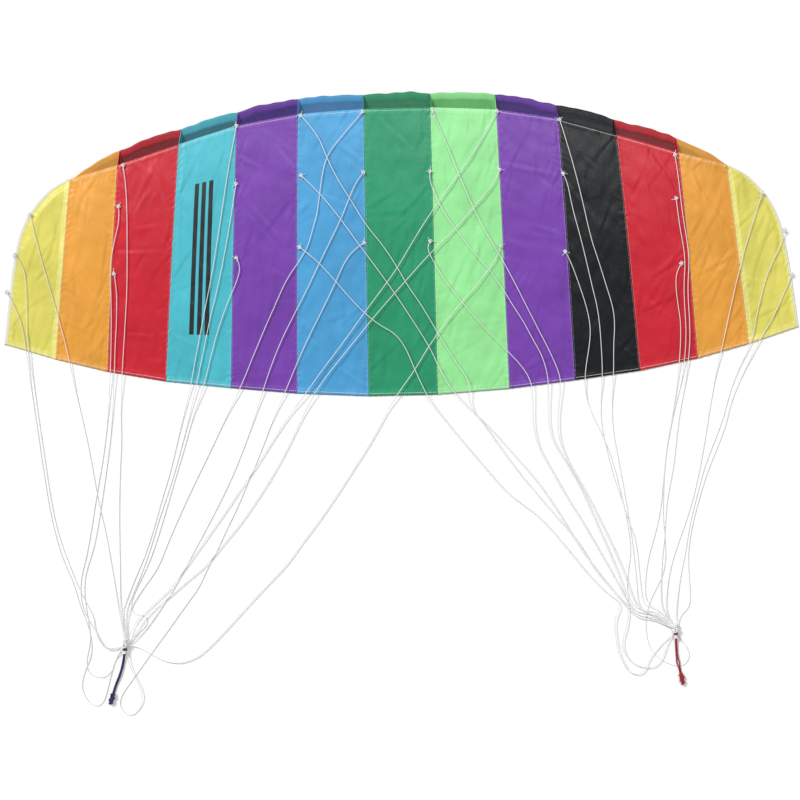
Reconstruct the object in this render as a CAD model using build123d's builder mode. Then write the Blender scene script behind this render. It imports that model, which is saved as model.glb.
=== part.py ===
"""Parafoil kite, laid out flat on its upper skin with its bridle lines beside it.

Millimetres. +X runs along the span, +Y from the trailing edge to the leading edge and +Z up from
the surface that the kite lies on. The origin is under the middle of the canopy.
The canopy has thirteen cells, numbered from the left tip. Twelve ribs stand on the seams between
them. Every point of a cord is (x, y): its height follows the cloth, or the floor past the cloth.
"""
import os
from math import hypot, pi

from build123d import *

# Cloth, and the ribs that stand between the two skins. A tip folds across its own small gap.
SKIN = 0.8
RIB = 0.8
HINGE_GAP = 0.3
CELL_BULGE = 3.0
FRONT_BOW = 4.0
HALF_SPAN = 790.0

# The seams of one half, from the tip to the middle: front end, back end, rib height, lip setback.
HALF_SEAMS = [
    ((656.0, 143.0), (693.0, -215.0), 8.0, 9.0),
    ((556.0, 199.0), (590.0, -242.0), 20.0, 31.0),
    ((432.0, 239.0), (474.0, -264.0), 27.0, 33.0),
    ((318.0, 270.0), (344.0, -280.0), 31.0, 30.0),
    ((196.0, 294.0), (212.0, -294.0), 33.0, 34.0),
    ((66.0, 299.0), (69.0, -302.5), 34.0, 32.0),
]
TIP_BACK = (HALF_SPAN, -184.0)
TIP_EDGE = [(700.0, 116.0), (746.0, 56.0), (770.0, -30.0)]

# A rib's three cross vents: place along the chord, and radius, both as shares.
VENTS = [(0.16, 0.27), (0.34, 0.28), (0.52, 0.26)]
VENT_MIN_HEIGHT = 15.0

# Bridle: braided lines, the small knots that tie them to the seams, tow knots and leaders.
LINE_D = 1.5
LINE_GAP = 3.0
# How far past the kite's edge a line takes to reach the floor.
EDGE_REACH = 30.0
LAYER = 1.9
TAB_R = 3.0
TAB_GAP = 0.5
TAB_CLEAR = 0.5
TOW_R = 7.0
LEADER_D = 4.0
END_KNOT_R = 4.5
ARC_SHARE = 0.45

LEFT_TOW = (-567.0, -789.0)
RIGHT_TOW = (533.0, -783.0)
LEFT_LEADER = [(-568, -801), (-571, -823), (-579, -849), (-590, -874), (-596, -895)]
RIGHT_LEADER = [(533, -795), (534, -818), (535, -842), (540, -862), (543, -881)]
LEFT_END = (-597.5, -900.5)
RIGHT_END = (544.5, -886.5)

# How many crossing depths above the cloth each rib's lines lie.
LAYERS = {"0": 0, "2": 0, "4": 0, "6": 0, "8": 1, "5": 2, "7": 2, "9": 0, "11": 0, "13": 0}
# The height of each row of lines inside the gathered bundle at a tow knot.
ROW_LIFT = {"A": 3.6, "B": 1.8, "C": 0.0}
BUNDLE_REACH = 110.0
# Stretches of a line, by point number, that ride over a lower stretch of the same line.
OVER = {"6C": (25, 29, 3.6)}
# Which tow knot each rib's lines run to.
LEFT_RIBS = ("0", "2", "4", "6", "8")

ROUTES = {
    "0A": [(-738, 75), (-718, -12), (-692, -106), (-676, -167), (-665, -221), (-654, -285),
        (-638, -358), (-626, -426), (-615, -500), (-601, -563), (-590, -635), (-582, -691),
        (-577, -731), (-571, -759)],
    "0B": [(-770, -5), (-755, -25), (-749, -51), (-748, -105), (-749, -161), (-745, -207),
        (-738, -263), (-731, -328), (-722, -396), (-712, -478), (-703, -534), (-691, -582),
        (-676, -625), (-657, -675), (-640, -710), (-629, -730), (-627, -754), (-620, -778),
        (-606, -796), (-590, -801)],
    "0C": [(-788, -78), (-767, -119), (-756, -163), (-750, -207), (-743, -279), (-733, -355),
        (-726, -414), (-718, -476), (-709, -534), (-697, -586), (-683, -629), (-667, -665),
        (-656, -709), (-643, -742), (-634, -778), (-635, -810), (-647, -834), (-657, -865),
        (-652, -888), (-639, -906), (-624, -911), (-613, -902), (-605, -880), (-599, -855),
        (-592, -833), (-585, -813)],
    "2A": [(-547, 167), (-542, 136), (-540, 80), (-541, 22), (-544, -76), (-551, -152),
        (-559, -229), (-566, -317), (-565, -379), (-570, -439), (-574, -537), (-574, -615),
        (-575, -691), (-574, -723), (-571, -755)],
    "2B": [(-557, 85), (-555, 61), (-566, 21), (-575, -19), (-578, -59), (-577, -103),
        (-579, -165), (-584, -243), (-591, -331), (-603, -416), (-616, -478), (-629, -552),
        (-640, -608), (-651, -645), (-655, -677), (-652, -709), (-641, -736), (-623, -764),
        (-612, -786), (-598, -799)],
    "2C": [(-570, -48), (-565, -75), (-567, -135), (-573, -198), (-576, -247), (-585, -359),
        (-594, -421), (-609, -511), (-623, -585), (-636, -623), (-645, -652), (-647, -684),
        (-644, -715), (-637, -758), (-638, -788), (-646, -818), (-644, -840), (-629, -852),
        (-609, -854), (-595, -841), (-589, -821), (-580, -803)],
    "4A": [(-319, 239), (-337, 152), (-357, 36), (-376, -63), (-393, -134), (-417, -240),
        (-426, -282), (-448, -362), (-469, -445), (-484, -489), (-511, -577), (-528, -622),
        (-547, -662), (-562, -699), (-572, -723), (-569, -751)],
    "4B": [(-322, 123), (-336, 42), (-359, -64), (-377, -127), (-392, -187), (-412, -271),
        (-436, -362), (-458, -438), (-477, -493), (-496, -545), (-511, -593), (-529, -642),
        (-548, -684), (-564, -721), (-565, -751)],
    "4C": [(-325, -23), (-317, -37), (-323, -65), (-347, -114), (-374, -187), (-396, -271),
        (-422, -337), (-441, -402), (-461, -462), (-478, -517), (-495, -569), (-512, -617),
        (-533, -660), (-552, -696), (-554, -720), (-543, -730), (-523, -732), (-521, -750),
        (-546, -770)],
    "6A": [(-68, 261), (-116, 206), (-141, 175), (-153, 128), (-161, 64), (-174, 24), (-182, -3),
        (-197, -28), (-225, -65), (-247, -110), (-285, -190), (-325, -281), (-356, -340),
        (-387, -403), (-427, -480), (-456, -540), (-481, -595), (-498, -637), (-528, -676),
        (-553, -712), (-563, -739), (-563, -765)],
    "6B": [(-69, 140), (-85, 120), (-99, 88), (-117, 45), (-161, -38), (-186, -88), (-209, -129),
        (-239, -185), (-259, -230), (-280, -286), (-301, -349), (-323, -405), (-345, -456),
        (-369, -504), (-403, -566), (-435, -622), (-463, -674), (-507, -737), (-534, -770)],
    "6C": [(-71, 1), (-94, -14), (-112, -39), (-130, -77), (-157, -130), (-185, -181),
        (-211, -235), (-235, -289), (-263, -348), (-293, -423), (-314, -467), (-336, -518),
        (-356, -556), (-376, -598), (-399, -639), (-418, -679), (-447, -716), (-477, -757),
        (-518, -810), (-552, -856), (-576, -887), (-582, -907), (-573, -925), (-557, -932),
        (-540, -918), (-534, -896), (-539, -872), (-551, -848), (-561, -823)],
    "8A": [(198, 256), (162, 192), (119, 131), (77, 78), (30, 9), (-7, -52), (-42, -97),
        (-76, -140), (-120, -199), (-160, -248), (-191, -290), (-230, -339), (-271, -399),
        (-296, -437), (-325, -477), (-362, -529), (-407, -590), (-442, -636), (-475, -681),
        (-513, -713), (-543, -740), (-557, -768)],
    "8B": [(200, 139), (193, 120), (170, 90), (109, 22), (57, -25), (8, -78), (-27, -115),
        (-61, -153), (-103, -203), (-146, -253), (-175, -291), (-202, -340), (-235, -405),
        (-262, -452), (-289, -493), (-330, -551), (-370, -596), (-402, -635), (-435, -660),
        (-472, -691), (-514, -725), (-537, -752), (-552, -776)],
    "8C": [(200, -11), (192, -32), (176, -56), (148, -91), (120, -121), (95, -150), (72, -180),
        (47, -215), (24, -253), (-8, -295), (-29, -327), (-52, -369), (-77, -410), (-110, -458),
        (-141, -504), (-181, -559), (-212, -597), (-241, -637), (-281, -676), (-318, -714),
        (-367, -766), (-411, -809), (-435, -822), (-460, -829), (-492, -823), (-520, -806),
        (-544, -792)],
    "5A": [(-191, 256), (-159, 220), (-142, 173), (-123, 131), (-98, 90), (-67, 36), (-34, -5),
        (-7, -48), (12, -84), (39, -123), (72, -182), (106, -240), (126, -267), (132, -291),
        (131, -316), (142, -341), (163, -368), (209, -437), (243, -482), (299, -550), (343, -602),
        (374, -659), (406, -697), (438, -732), (461, -755), (487, -755)],
    "5B": [(-193, 137), (-154, 98), (-115, 47), (-79, -6), (-49, -47), (-14, -98), (21, -153),
        (54, -207), (74, -254), (95, -292), (132, -333), (166, -364), (212, -419), (256, -470),
        (293, -523), (332, -590), (358, -632), (385, -669), (414, -706), (439, -740), (463, -761),
        (491, -761)],
    "5C": [(-199, -5), (-184, -17), (-160, -38), (-128, -75), (-98, -112), (-71, -140),
        (-44, -163), (-16, -178), (5, -204), (24, -253), (49, -309), (70, -338), (113, -393),
        (161, -452), (201, -500), (239, -530), (268, -552), (309, -601), (336, -636), (363, -670),
        (396, -705), (422, -724), (423, -740), (413, -756), (412, -780), (419, -830), (435, -862),
        (454, -873), (471, -863), (477, -843), (498, -819), (518, -800)],
    "7A": [(70, 258), (91, 206), (119, 131), (146, 65), (164, 28), (182, -5), (199, -33),
        (226, -85), (262, -160), (294, -223), (314, -271), (314, -305), (309, -341), (307, -388),
        (322, -435), (357, -498), (389, -565), (418, -628), (437, -678), (450, -722), (469, -747),
        (495, -753)],
    "7B": [(63, 139), (60, 125), (70, 94), (84, 64), (102, 36), (132, -6), (155, -34), (178, -60),
        (200, -93), (221, -129), (242, -162), (258, -194), (279, -232), (289, -271), (290, -311),
        (289, -375), (301, -409), (322, -443), (352, -498), (381, -569), (408, -633), (427, -684),
        (440, -728), (439, -766), (426, -802), (429, -826), (445, -848), (471, -859), (493, -855),
        (507, -838), (514, -816), (524, -798)],
    "7C": [(60, 1), (55, -7), (56, -21), (67, -42), (84, -72), (114, -112), (149, -155),
        (175, -184), (203, -213), (235, -247), (252, -273), (259, -302), (258, -358), (265, -406),
        (284, -443), (305, -481), (324, -517), (348, -556), (371, -597), (394, -639), (421, -690),
        (436, -722), (459, -749), (487, -749)],
    "9A": [(322, 237), (339, 178), (360, 90), (378, 1), (393, -45), (406, -89), (421, -138),
        (424, -172), (421, -214), (421, -266), (416, -328), (417, -384), (427, -440), (440, -524),
        (449, -588), (454, -637), (458, -689), (460, -733), (479, -749), (503, -755)],
    "9B": [(326, 129), (334, 114), (342, 64), (358, 2), (369, -46), (380, -97), (391, -143),
        (396, -199), (399, -276), (394, -322), (394, -373), (406, -432), (419, -484), (436, -532),
        (445, -588), (448, -628), (439, -676), (438, -708), (451, -736), (475, -745), (501, -748)],
    "9C": [(327, -25), (336, -40), (353, -88), (369, -138), (376, -179), (372, -217), (366, -250),
        (363, -280), (366, -321), (380, -357), (395, -389), (412, -432), (427, -492), (438, -546),
        (451, -581), (460, -613), (466, -701), (472, -733), (489, -739), (511, -750)],
    "11A": [(550, 163), (556, 119), (559, 75), (565, 25), (572, -19), (574, -53), (571, -89),
        (571, -125), (574, -169), (574, -215), (567, -281), (555, -333), (546, -384), (537, -460),
        (521, -526), (517, -588), (510, -639), (506, -696), (506, -737), (519, -762)],
    "11B": [(550, 76), (555, 25), (563, -19), (566, -53), (563, -89), (563, -125), (566, -173),
        (566, -215), (559, -281), (546, -324), (531, -386), (521, -439), (515, -486), (510, -537),
        (499, -585), (482, -637), (474, -689), (475, -723), (493, -741), (513, -756)],
    "11C": [(558, -53), (549, -68), (546, -92), (550, -133), (557, -177), (552, -265), (538, -352),
        (525, -406), (516, -484), (513, -564), (518, -618), (514, -667), (494, -705), (480, -733),
        (473, -767), (476, -803), (485, -827), (507, -846), (531, -856), (549, -855), (561, -839),
        (556, -819), (542, -801)],
    "13A": [(725, 86), (705, 30), (686, -28), (670, -87), (653, -155), (642, -205), (635, -234),
        (623, -286), (609, -358), (597, -426), (579, -507), (561, -563), (538, -622), (524, -668),
        (516, -716), (515, -746), (525, -768)],
    "13B": [(768, 11), (762, -11), (749, -41), (730, -79), (718, -120), (707, -164), (698, -209),
        (688, -232), (670, -268), (652, -313), (637, -367), (612, -426), (595, -470), (585, -507),
        (567, -569), (557, -629), (545, -679), (538, -726), (535, -756)],
    "13C": [(780, -78), (759, -129), (736, -173), (709, -216), (679, -277), (663, -311),
        (652, -341), (644, -375), (623, -426), (603, -472), (591, -508), (573, -567), (562, -625),
        (562, -669), (565, -721), (560, -741), (547, -753), (541, -764)],
}


def seams():
    """The twelve seams from the left tip to the right tip."""
    left = [((-f[0], f[1]), (-b[0], b[1]), h, s) for f, b, h, s in HALF_SEAMS]
    return left + HALF_SEAMS[::-1]


SEAMS = seams()


def camber(s):
    """Height of a rib at a share s of the chord behind the lip, as a share of the rib's height."""
    return (1 - s) * (0.7 + 2.2 * s - 1.2 * s * s)


CAMBER_STEPS = (0.0, 0.1, 0.25, 0.45, 0.7, 0.88, 1.0)


def chord(front, back):
    """Length of a seam."""
    return hypot(back[0] - front[0], back[1] - front[1])


def seam_plane(front, back):
    """Upright plane of a seam: local x runs back along the chord and local y is up."""
    length = chord(front, back)
    run = ((back[0] - front[0]) / length, (back[1] - front[1]) / length)
    return Plane(origin=(front[0], front[1], 0), x_dir=(run[0], run[1], 0), z_dir=(run[1], -run[0], 0))


def midway(a, b, share=0.5):
    """Point between two plan points."""
    return (a[0] + (b[0] - a[0]) * share, a[1] + (b[1] - a[1]) * share)


def beside(front, back, gap):
    """A seam's two ends moved to its right by a gap."""
    normal = seam_plane(front, back).z_dir
    step = (-normal.X * gap, -normal.Y * gap)
    return (front[0] + step[0], front[1] + step[1]), (back[0] + step[0], back[1] + step[1])


def across(x, y):
    """Cell number and share of the way across it, at a plan point."""
    ends = [(f[0] + (b[0] - f[0]) * (f[1] - y) / (f[1] - b[1])) for f, b, h, s in SEAMS]
    ends = [-HALF_SPAN] + ends + [HALF_SPAN]
    cell = max(i for i in range(13) if x >= ends[i] or i == 0)
    return cell, (x - ends[cell]) / (ends[cell + 1] - ends[cell])


def cloth_height(x, y):
    """Height of the top of the laid kite at a plan point, falling to the floor past its edges."""
    cell, share = across(x, y)
    tip = ((0, TIP_BACK[1]), (0, TIP_BACK[1]), 0.0, 0.0)
    low = SEAMS[cell - 1] if cell > 0 else tip
    high = SEAMS[cell] if cell < 12 else tip
    front = low[0][1] - low[3] + (high[0][1] - high[3] - low[0][1] + low[3]) * share
    if cell in (0, 12):
        front = HALF_SEAMS[0][0][1] - HALF_SEAMS[0][3]
    back = low[1][1] + (high[1][1] - low[1][1]) * share
    s = min(max((front - y) / (front - back), 0.0), 1.0)
    past = max(back - y, abs(x) - HALF_SPAN, 0.0)
    if past > 0:
        return 2 * SKIN * max(0.0, 1 - past / EDGE_REACH)
    bulge = 4 * CELL_BULGE * share * (1 - share) if 0 < cell < 12 else 0.0
    height = low[2] + (high[2] - low[2]) * share + bulge
    return 2 * SKIN + height * camber(s)


def skin_section(height, length, setback):
    """Outline of the lower skin's cut at one place: a thin ribbon from the lip to the back."""
    steps = [(setback + (length - setback) * s, SKIN + height * camber(s)) for s in CAMBER_STEPS]
    raised = [(x, z + SKIN) for x, z in steps]
    Spline(*steps)
    Spline(*raised)
    Line(steps[0], raised[0])
    Line(steps[-1], raised[-1])


def lower_skin(cell):
    """One cell's lower skin, domed between its two ribs, with its open front at the lip."""
    (front_a, back_a, height_a, set_a), (front_b, back_b, height_b, set_b) = SEAMS[cell - 1], SEAMS[cell]
    near = beside(front_a, back_a, RIB / 2)
    far = beside(front_b, back_b, -RIB / 2)
    middle = (midway(front_a, front_b), midway(back_a, back_b))
    cuts = [
        (near, height_a, set_a),
        (middle, (height_a + height_b) / 2 + CELL_BULGE, (set_a + set_b) / 2),
        (far, height_b, set_b),
    ]
    with BuildPart() as skin:
        for (front, back), height, setback in cuts:
            with BuildSketch(seam_plane(front, back)):
                with BuildLine():
                    skin_section(height, chord(front, back), setback)
                make_face()
        loft()
    return skin.part


def upper_skin(cell):
    """One cell's upper skin, lying flat on the floor, with a bowed front hem."""
    front_a, back_a = beside(*SEAMS[cell - 1][:2], RIB / 2)
    front_b, back_b = beside(*SEAMS[cell][:2], -RIB / 2)
    bow = midway(front_a, front_b)
    with BuildPart() as skin:
        with BuildSketch():
            with BuildLine():
                ThreePointArc(front_a, (bow[0], bow[1] + FRONT_BOW), front_b)
                Line(front_b, back_b)
                Line(back_b, back_a)
                Line(back_a, front_a)
            make_face()
        extrude(amount=SKIN)
    return skin.part


def tip_outline(side):
    """Plan outline of a tip cell: its seam, its curved outer edge and its trailing edge."""
    gap = RIB / 2 + HINGE_GAP
    front, back = HALF_SEAMS[0][0], HALF_SEAMS[0][1]
    front, back = beside(front, back, gap)
    edge = [(side * x, y) for x, y in [front, *TIP_EDGE, TIP_BACK]]
    Spline(*edge)
    Line(edge[-1], (side * back[0], back[1]))
    Line((side * back[0], back[1]), edge[0])


def tip_upper_skin(side):
    """A tip cell's upper skin, flat on the floor."""
    with BuildPart() as skin:
        with BuildSketch():
            with BuildLine():
                tip_outline(side)
            make_face()
        extrude(amount=SKIN)
    return skin.part


def tip_lower_skin(side):
    """A tip cell's lower skin, falling from its seam to the outer edge, with no inlet."""
    front, back, height, setback = HALF_SEAMS[0]
    gap = RIB / 2 + HINGE_GAP
    near = beside(front, back, gap)
    far = beside(front, back, HALF_SPAN - front[0])
    if side < 0:
        near = tuple((-x, y) for x, y in near)
        far = tuple((-x, y) for x, y in far)
    with BuildPart() as skin:
        for (one, two), rise in ((near, height), (far, 0.01)):
            with BuildSketch(seam_plane(one, two)):
                with BuildLine():
                    skin_section(rise, chord(one, two), 0)
                make_face()
        loft(ruled=True)
        with BuildSketch():
            with BuildLine():
                tip_outline(side)
            make_face()
        extrude(amount=height * 2, mode=Mode.INTERSECT)
    return skin.part


def rib(number):
    """One rib: cambered on top, raked at its open nose, with cross vents where it is tall."""
    front, back, height, setback = SEAMS[number - 1]
    length = chord(front, back)
    top = [(setback + (length - setback) * s, 2 * SKIN + height * camber(s)) for s in CAMBER_STEPS]
    with BuildPart() as web:
        with BuildSketch(seam_plane(front, back)):
            with BuildLine():
                Line((0, 0), (0, SKIN))
                Line((0, SKIN), top[0])
                Spline(*top)
                Line(top[-1], (length, 0))
                Line((length, 0), (0, 0))
            make_face()
            if height > VENT_MIN_HEIGHT:
                for place, size in VENTS:
                    rise = height * camber(place)
                    with Locations((setback + (length - setback) * place, SKIN + rise / 2)):
                        Circle(rise * size, mode=Mode.SUBTRACT)
        extrude(amount=RIB / 2, both=True)
    return web.part


def tab_places(ribs):
    """Where each rib's three lines are tied: the centre of each small knot."""
    places = []
    for name in ribs:
        for row in "ABC":
            x, y = ROUTES[name + row][0]
            places.append((x, y, cloth_height(x, y) + TAB_R + TAB_GAP))
    return places


def knots(places, radius):
    """Small round knots at the given centres."""
    with BuildPart() as group:
        with Locations(*places):
            Sphere(radius)
    return group.part


def line_points(name):
    """Points of one bridle line in space: over the cloth, down to the floor and to its tow knot."""
    flat = ROUTES[name]
    number, row = name[:-1], name[-1]
    tow = LEFT_TOW if number in LEFT_RIBS else RIGHT_TOW
    first_over, end_over, hump = OVER.get(name, (0, 0, 0.0))
    points = []
    for place, (x, y) in enumerate(flat):
        away = hypot(x - tow[0], y - tow[1])
        gather = max(0.0, 1 - away / BUNDLE_REACH)
        lift = LAYERS[number] * LAYER * (1 - gather) + ROW_LIFT[row] * gather
        clear = LINE_GAP * min(1.0, cloth_height(x, y) / (2 * SKIN))
        lift += hump if first_over <= place < end_over else 0.0
        points.append(Vector(x, y, cloth_height(x, y) + clear + LINE_D / 2 + lift))
    tab = Vector(*flat[0], cloth_height(*flat[0]) + TAB_R + TAB_GAP)
    points[0] = tab + (points[1] - tab).normalized() * (TAB_R + TAB_CLEAR)
    centre = Vector(*tow, TOW_R)
    points.append(centre + (points[-1] - centre).normalized() * (TOW_R - LINE_D / 2))
    return points


def corner_radii(points):
    """The arc at each corner of a route, as large as its two runs allow."""
    radii = []
    for before, corner, after in zip(points, points[1:], points[2:]):
        turn = (corner - before).get_angle(after - corner)
        run = min((corner - before).length, (after - corner).length)
        half = Vector(1, 0, 0).rotate(Axis.Z, turn / 2)
        radii.append(ARC_SHARE * run * half.X / half.Y)
    return radii


def cord_tube(points, diameter):
    """A plain tube along a cord's route."""
    radii = corner_radii(points)
    with BuildPart() as tube:
        with BuildLine() as path:
            FilletPolyline(*points, radius=radii)
        with BuildSketch(Plane(path.line @ 0, z_dir=path.line % 0)):
            Circle(diameter / 2)
        sweep()
    length = sum(edge.length for edge in path.edges())
    return tube.part, length, radii


def bridle_node(number):
    """The three lines of one rib, as three separate tubes."""
    solids = []
    for row in "ABC":
        tube, length, radii = cord_tube(line_points(number + row), LINE_D)
        report(number + row, tube, length, radii, LINE_D)
        solids.append(tube.solid())
    return Compound(children=solids)


def report(name, tube, length, radii, diameter):
    """Print a cord's length, its smallest arc and its volume against section times length."""
    section = pi * diameter**2 / 4
    print(f"{name}: length {length:.0f} mm, smallest arc {min(radii):.1f} mm,",
          f"arcs {[round(r) for r in radii]}, volume ratio {tube.volume / (section * length):.4f}")


def leader(flat):
    """One leader cord, lying on the floor from its tow knot to its end knot."""
    points = [Vector(x, y, LEADER_D / 2) for x, y in flat]
    points[0] = Vector(flat[0][0], flat[0][1], TOW_R - 1.5)
    return cord_tube(points, LEADER_D)


def save(part, name):
    """Label one finished piece and write it."""
    part.label = name
    export_step(part, f"parts/{name}.step")


os.makedirs("parts", exist_ok=True)

for cell in range(1, 12):
    save(lower_skin(cell), f"lower_skin_cell_{cell + 1:02d}")
    save(upper_skin(cell), f"upper_skin_cell_{cell + 1:02d}")
save(tip_lower_skin(-1), "lower_skin_cell_01")
save(tip_upper_skin(-1), "upper_skin_cell_01")
save(tip_lower_skin(1), "lower_skin_cell_13")
save(tip_upper_skin(1), "upper_skin_cell_13")

for number in range(1, 13):
    save(rib(number), f"rib_{number:02d}")

save(knots(tab_places(["0"]), TAB_R), "left_tip_line_knots")
save(knots(tab_places(["13"]), TAB_R), "right_tip_line_knots")
save(knots(tab_places(["2", "4", "6", "8"]), TAB_R), "left_bridle_line_knots")
save(knots(tab_places(["5", "7", "9", "11"]), TAB_R), "right_bridle_line_knots")

for number in LAYERS:
    save(bridle_node(number), f"bridle_lines_seam_{int(number):02d}")

save(knots([(*LEFT_TOW, TOW_R)], TOW_R), "left_tow_knot")
save(knots([(*RIGHT_TOW, TOW_R)], TOW_R), "right_tow_knot")
for side, flat, end in (("left", LEFT_LEADER, LEFT_END), ("right", RIGHT_LEADER, RIGHT_END)):
    cord, length, radii = leader(flat)
    report(side + " leader", cord, length, radii, LEADER_D)
    save(cord, side + "_leader")
    save(knots([(*end, END_KNOT_R)], END_KNOT_R), side + "_leader_end_knot")
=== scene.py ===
"""Parafoil kite laid flat on its upper skin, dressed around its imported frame.

Metres, in the frame's own axes: +X along the span, +Y from the trailing edge to the leading edge
and +Z up. The canopy's cells are numbered from the left tip, and its seams from 1 to 12.
"""
import logging
import math
from dataclasses import dataclass, field
from enum import Enum

import bpy
import numpy as np
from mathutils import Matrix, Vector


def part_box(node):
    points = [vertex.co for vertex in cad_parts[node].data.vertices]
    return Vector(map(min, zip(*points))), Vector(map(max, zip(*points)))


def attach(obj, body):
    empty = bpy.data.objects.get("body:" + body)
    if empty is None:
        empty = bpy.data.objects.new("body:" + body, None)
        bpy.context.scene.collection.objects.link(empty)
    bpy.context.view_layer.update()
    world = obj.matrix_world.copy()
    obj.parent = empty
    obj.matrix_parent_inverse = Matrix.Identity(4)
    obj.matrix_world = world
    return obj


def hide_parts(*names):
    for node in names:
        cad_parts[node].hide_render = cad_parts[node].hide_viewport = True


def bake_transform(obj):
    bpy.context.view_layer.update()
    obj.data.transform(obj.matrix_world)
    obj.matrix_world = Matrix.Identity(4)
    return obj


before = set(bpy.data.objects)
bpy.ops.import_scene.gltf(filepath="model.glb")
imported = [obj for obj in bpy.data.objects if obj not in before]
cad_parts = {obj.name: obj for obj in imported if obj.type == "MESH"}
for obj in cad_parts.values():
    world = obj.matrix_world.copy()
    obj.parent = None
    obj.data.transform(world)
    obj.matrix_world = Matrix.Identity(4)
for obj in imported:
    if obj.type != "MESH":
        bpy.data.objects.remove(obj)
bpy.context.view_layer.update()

LOG = logging.getLogger("kite")
MM = 0.001
CELLS = 13

Array = np.ndarray

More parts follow.
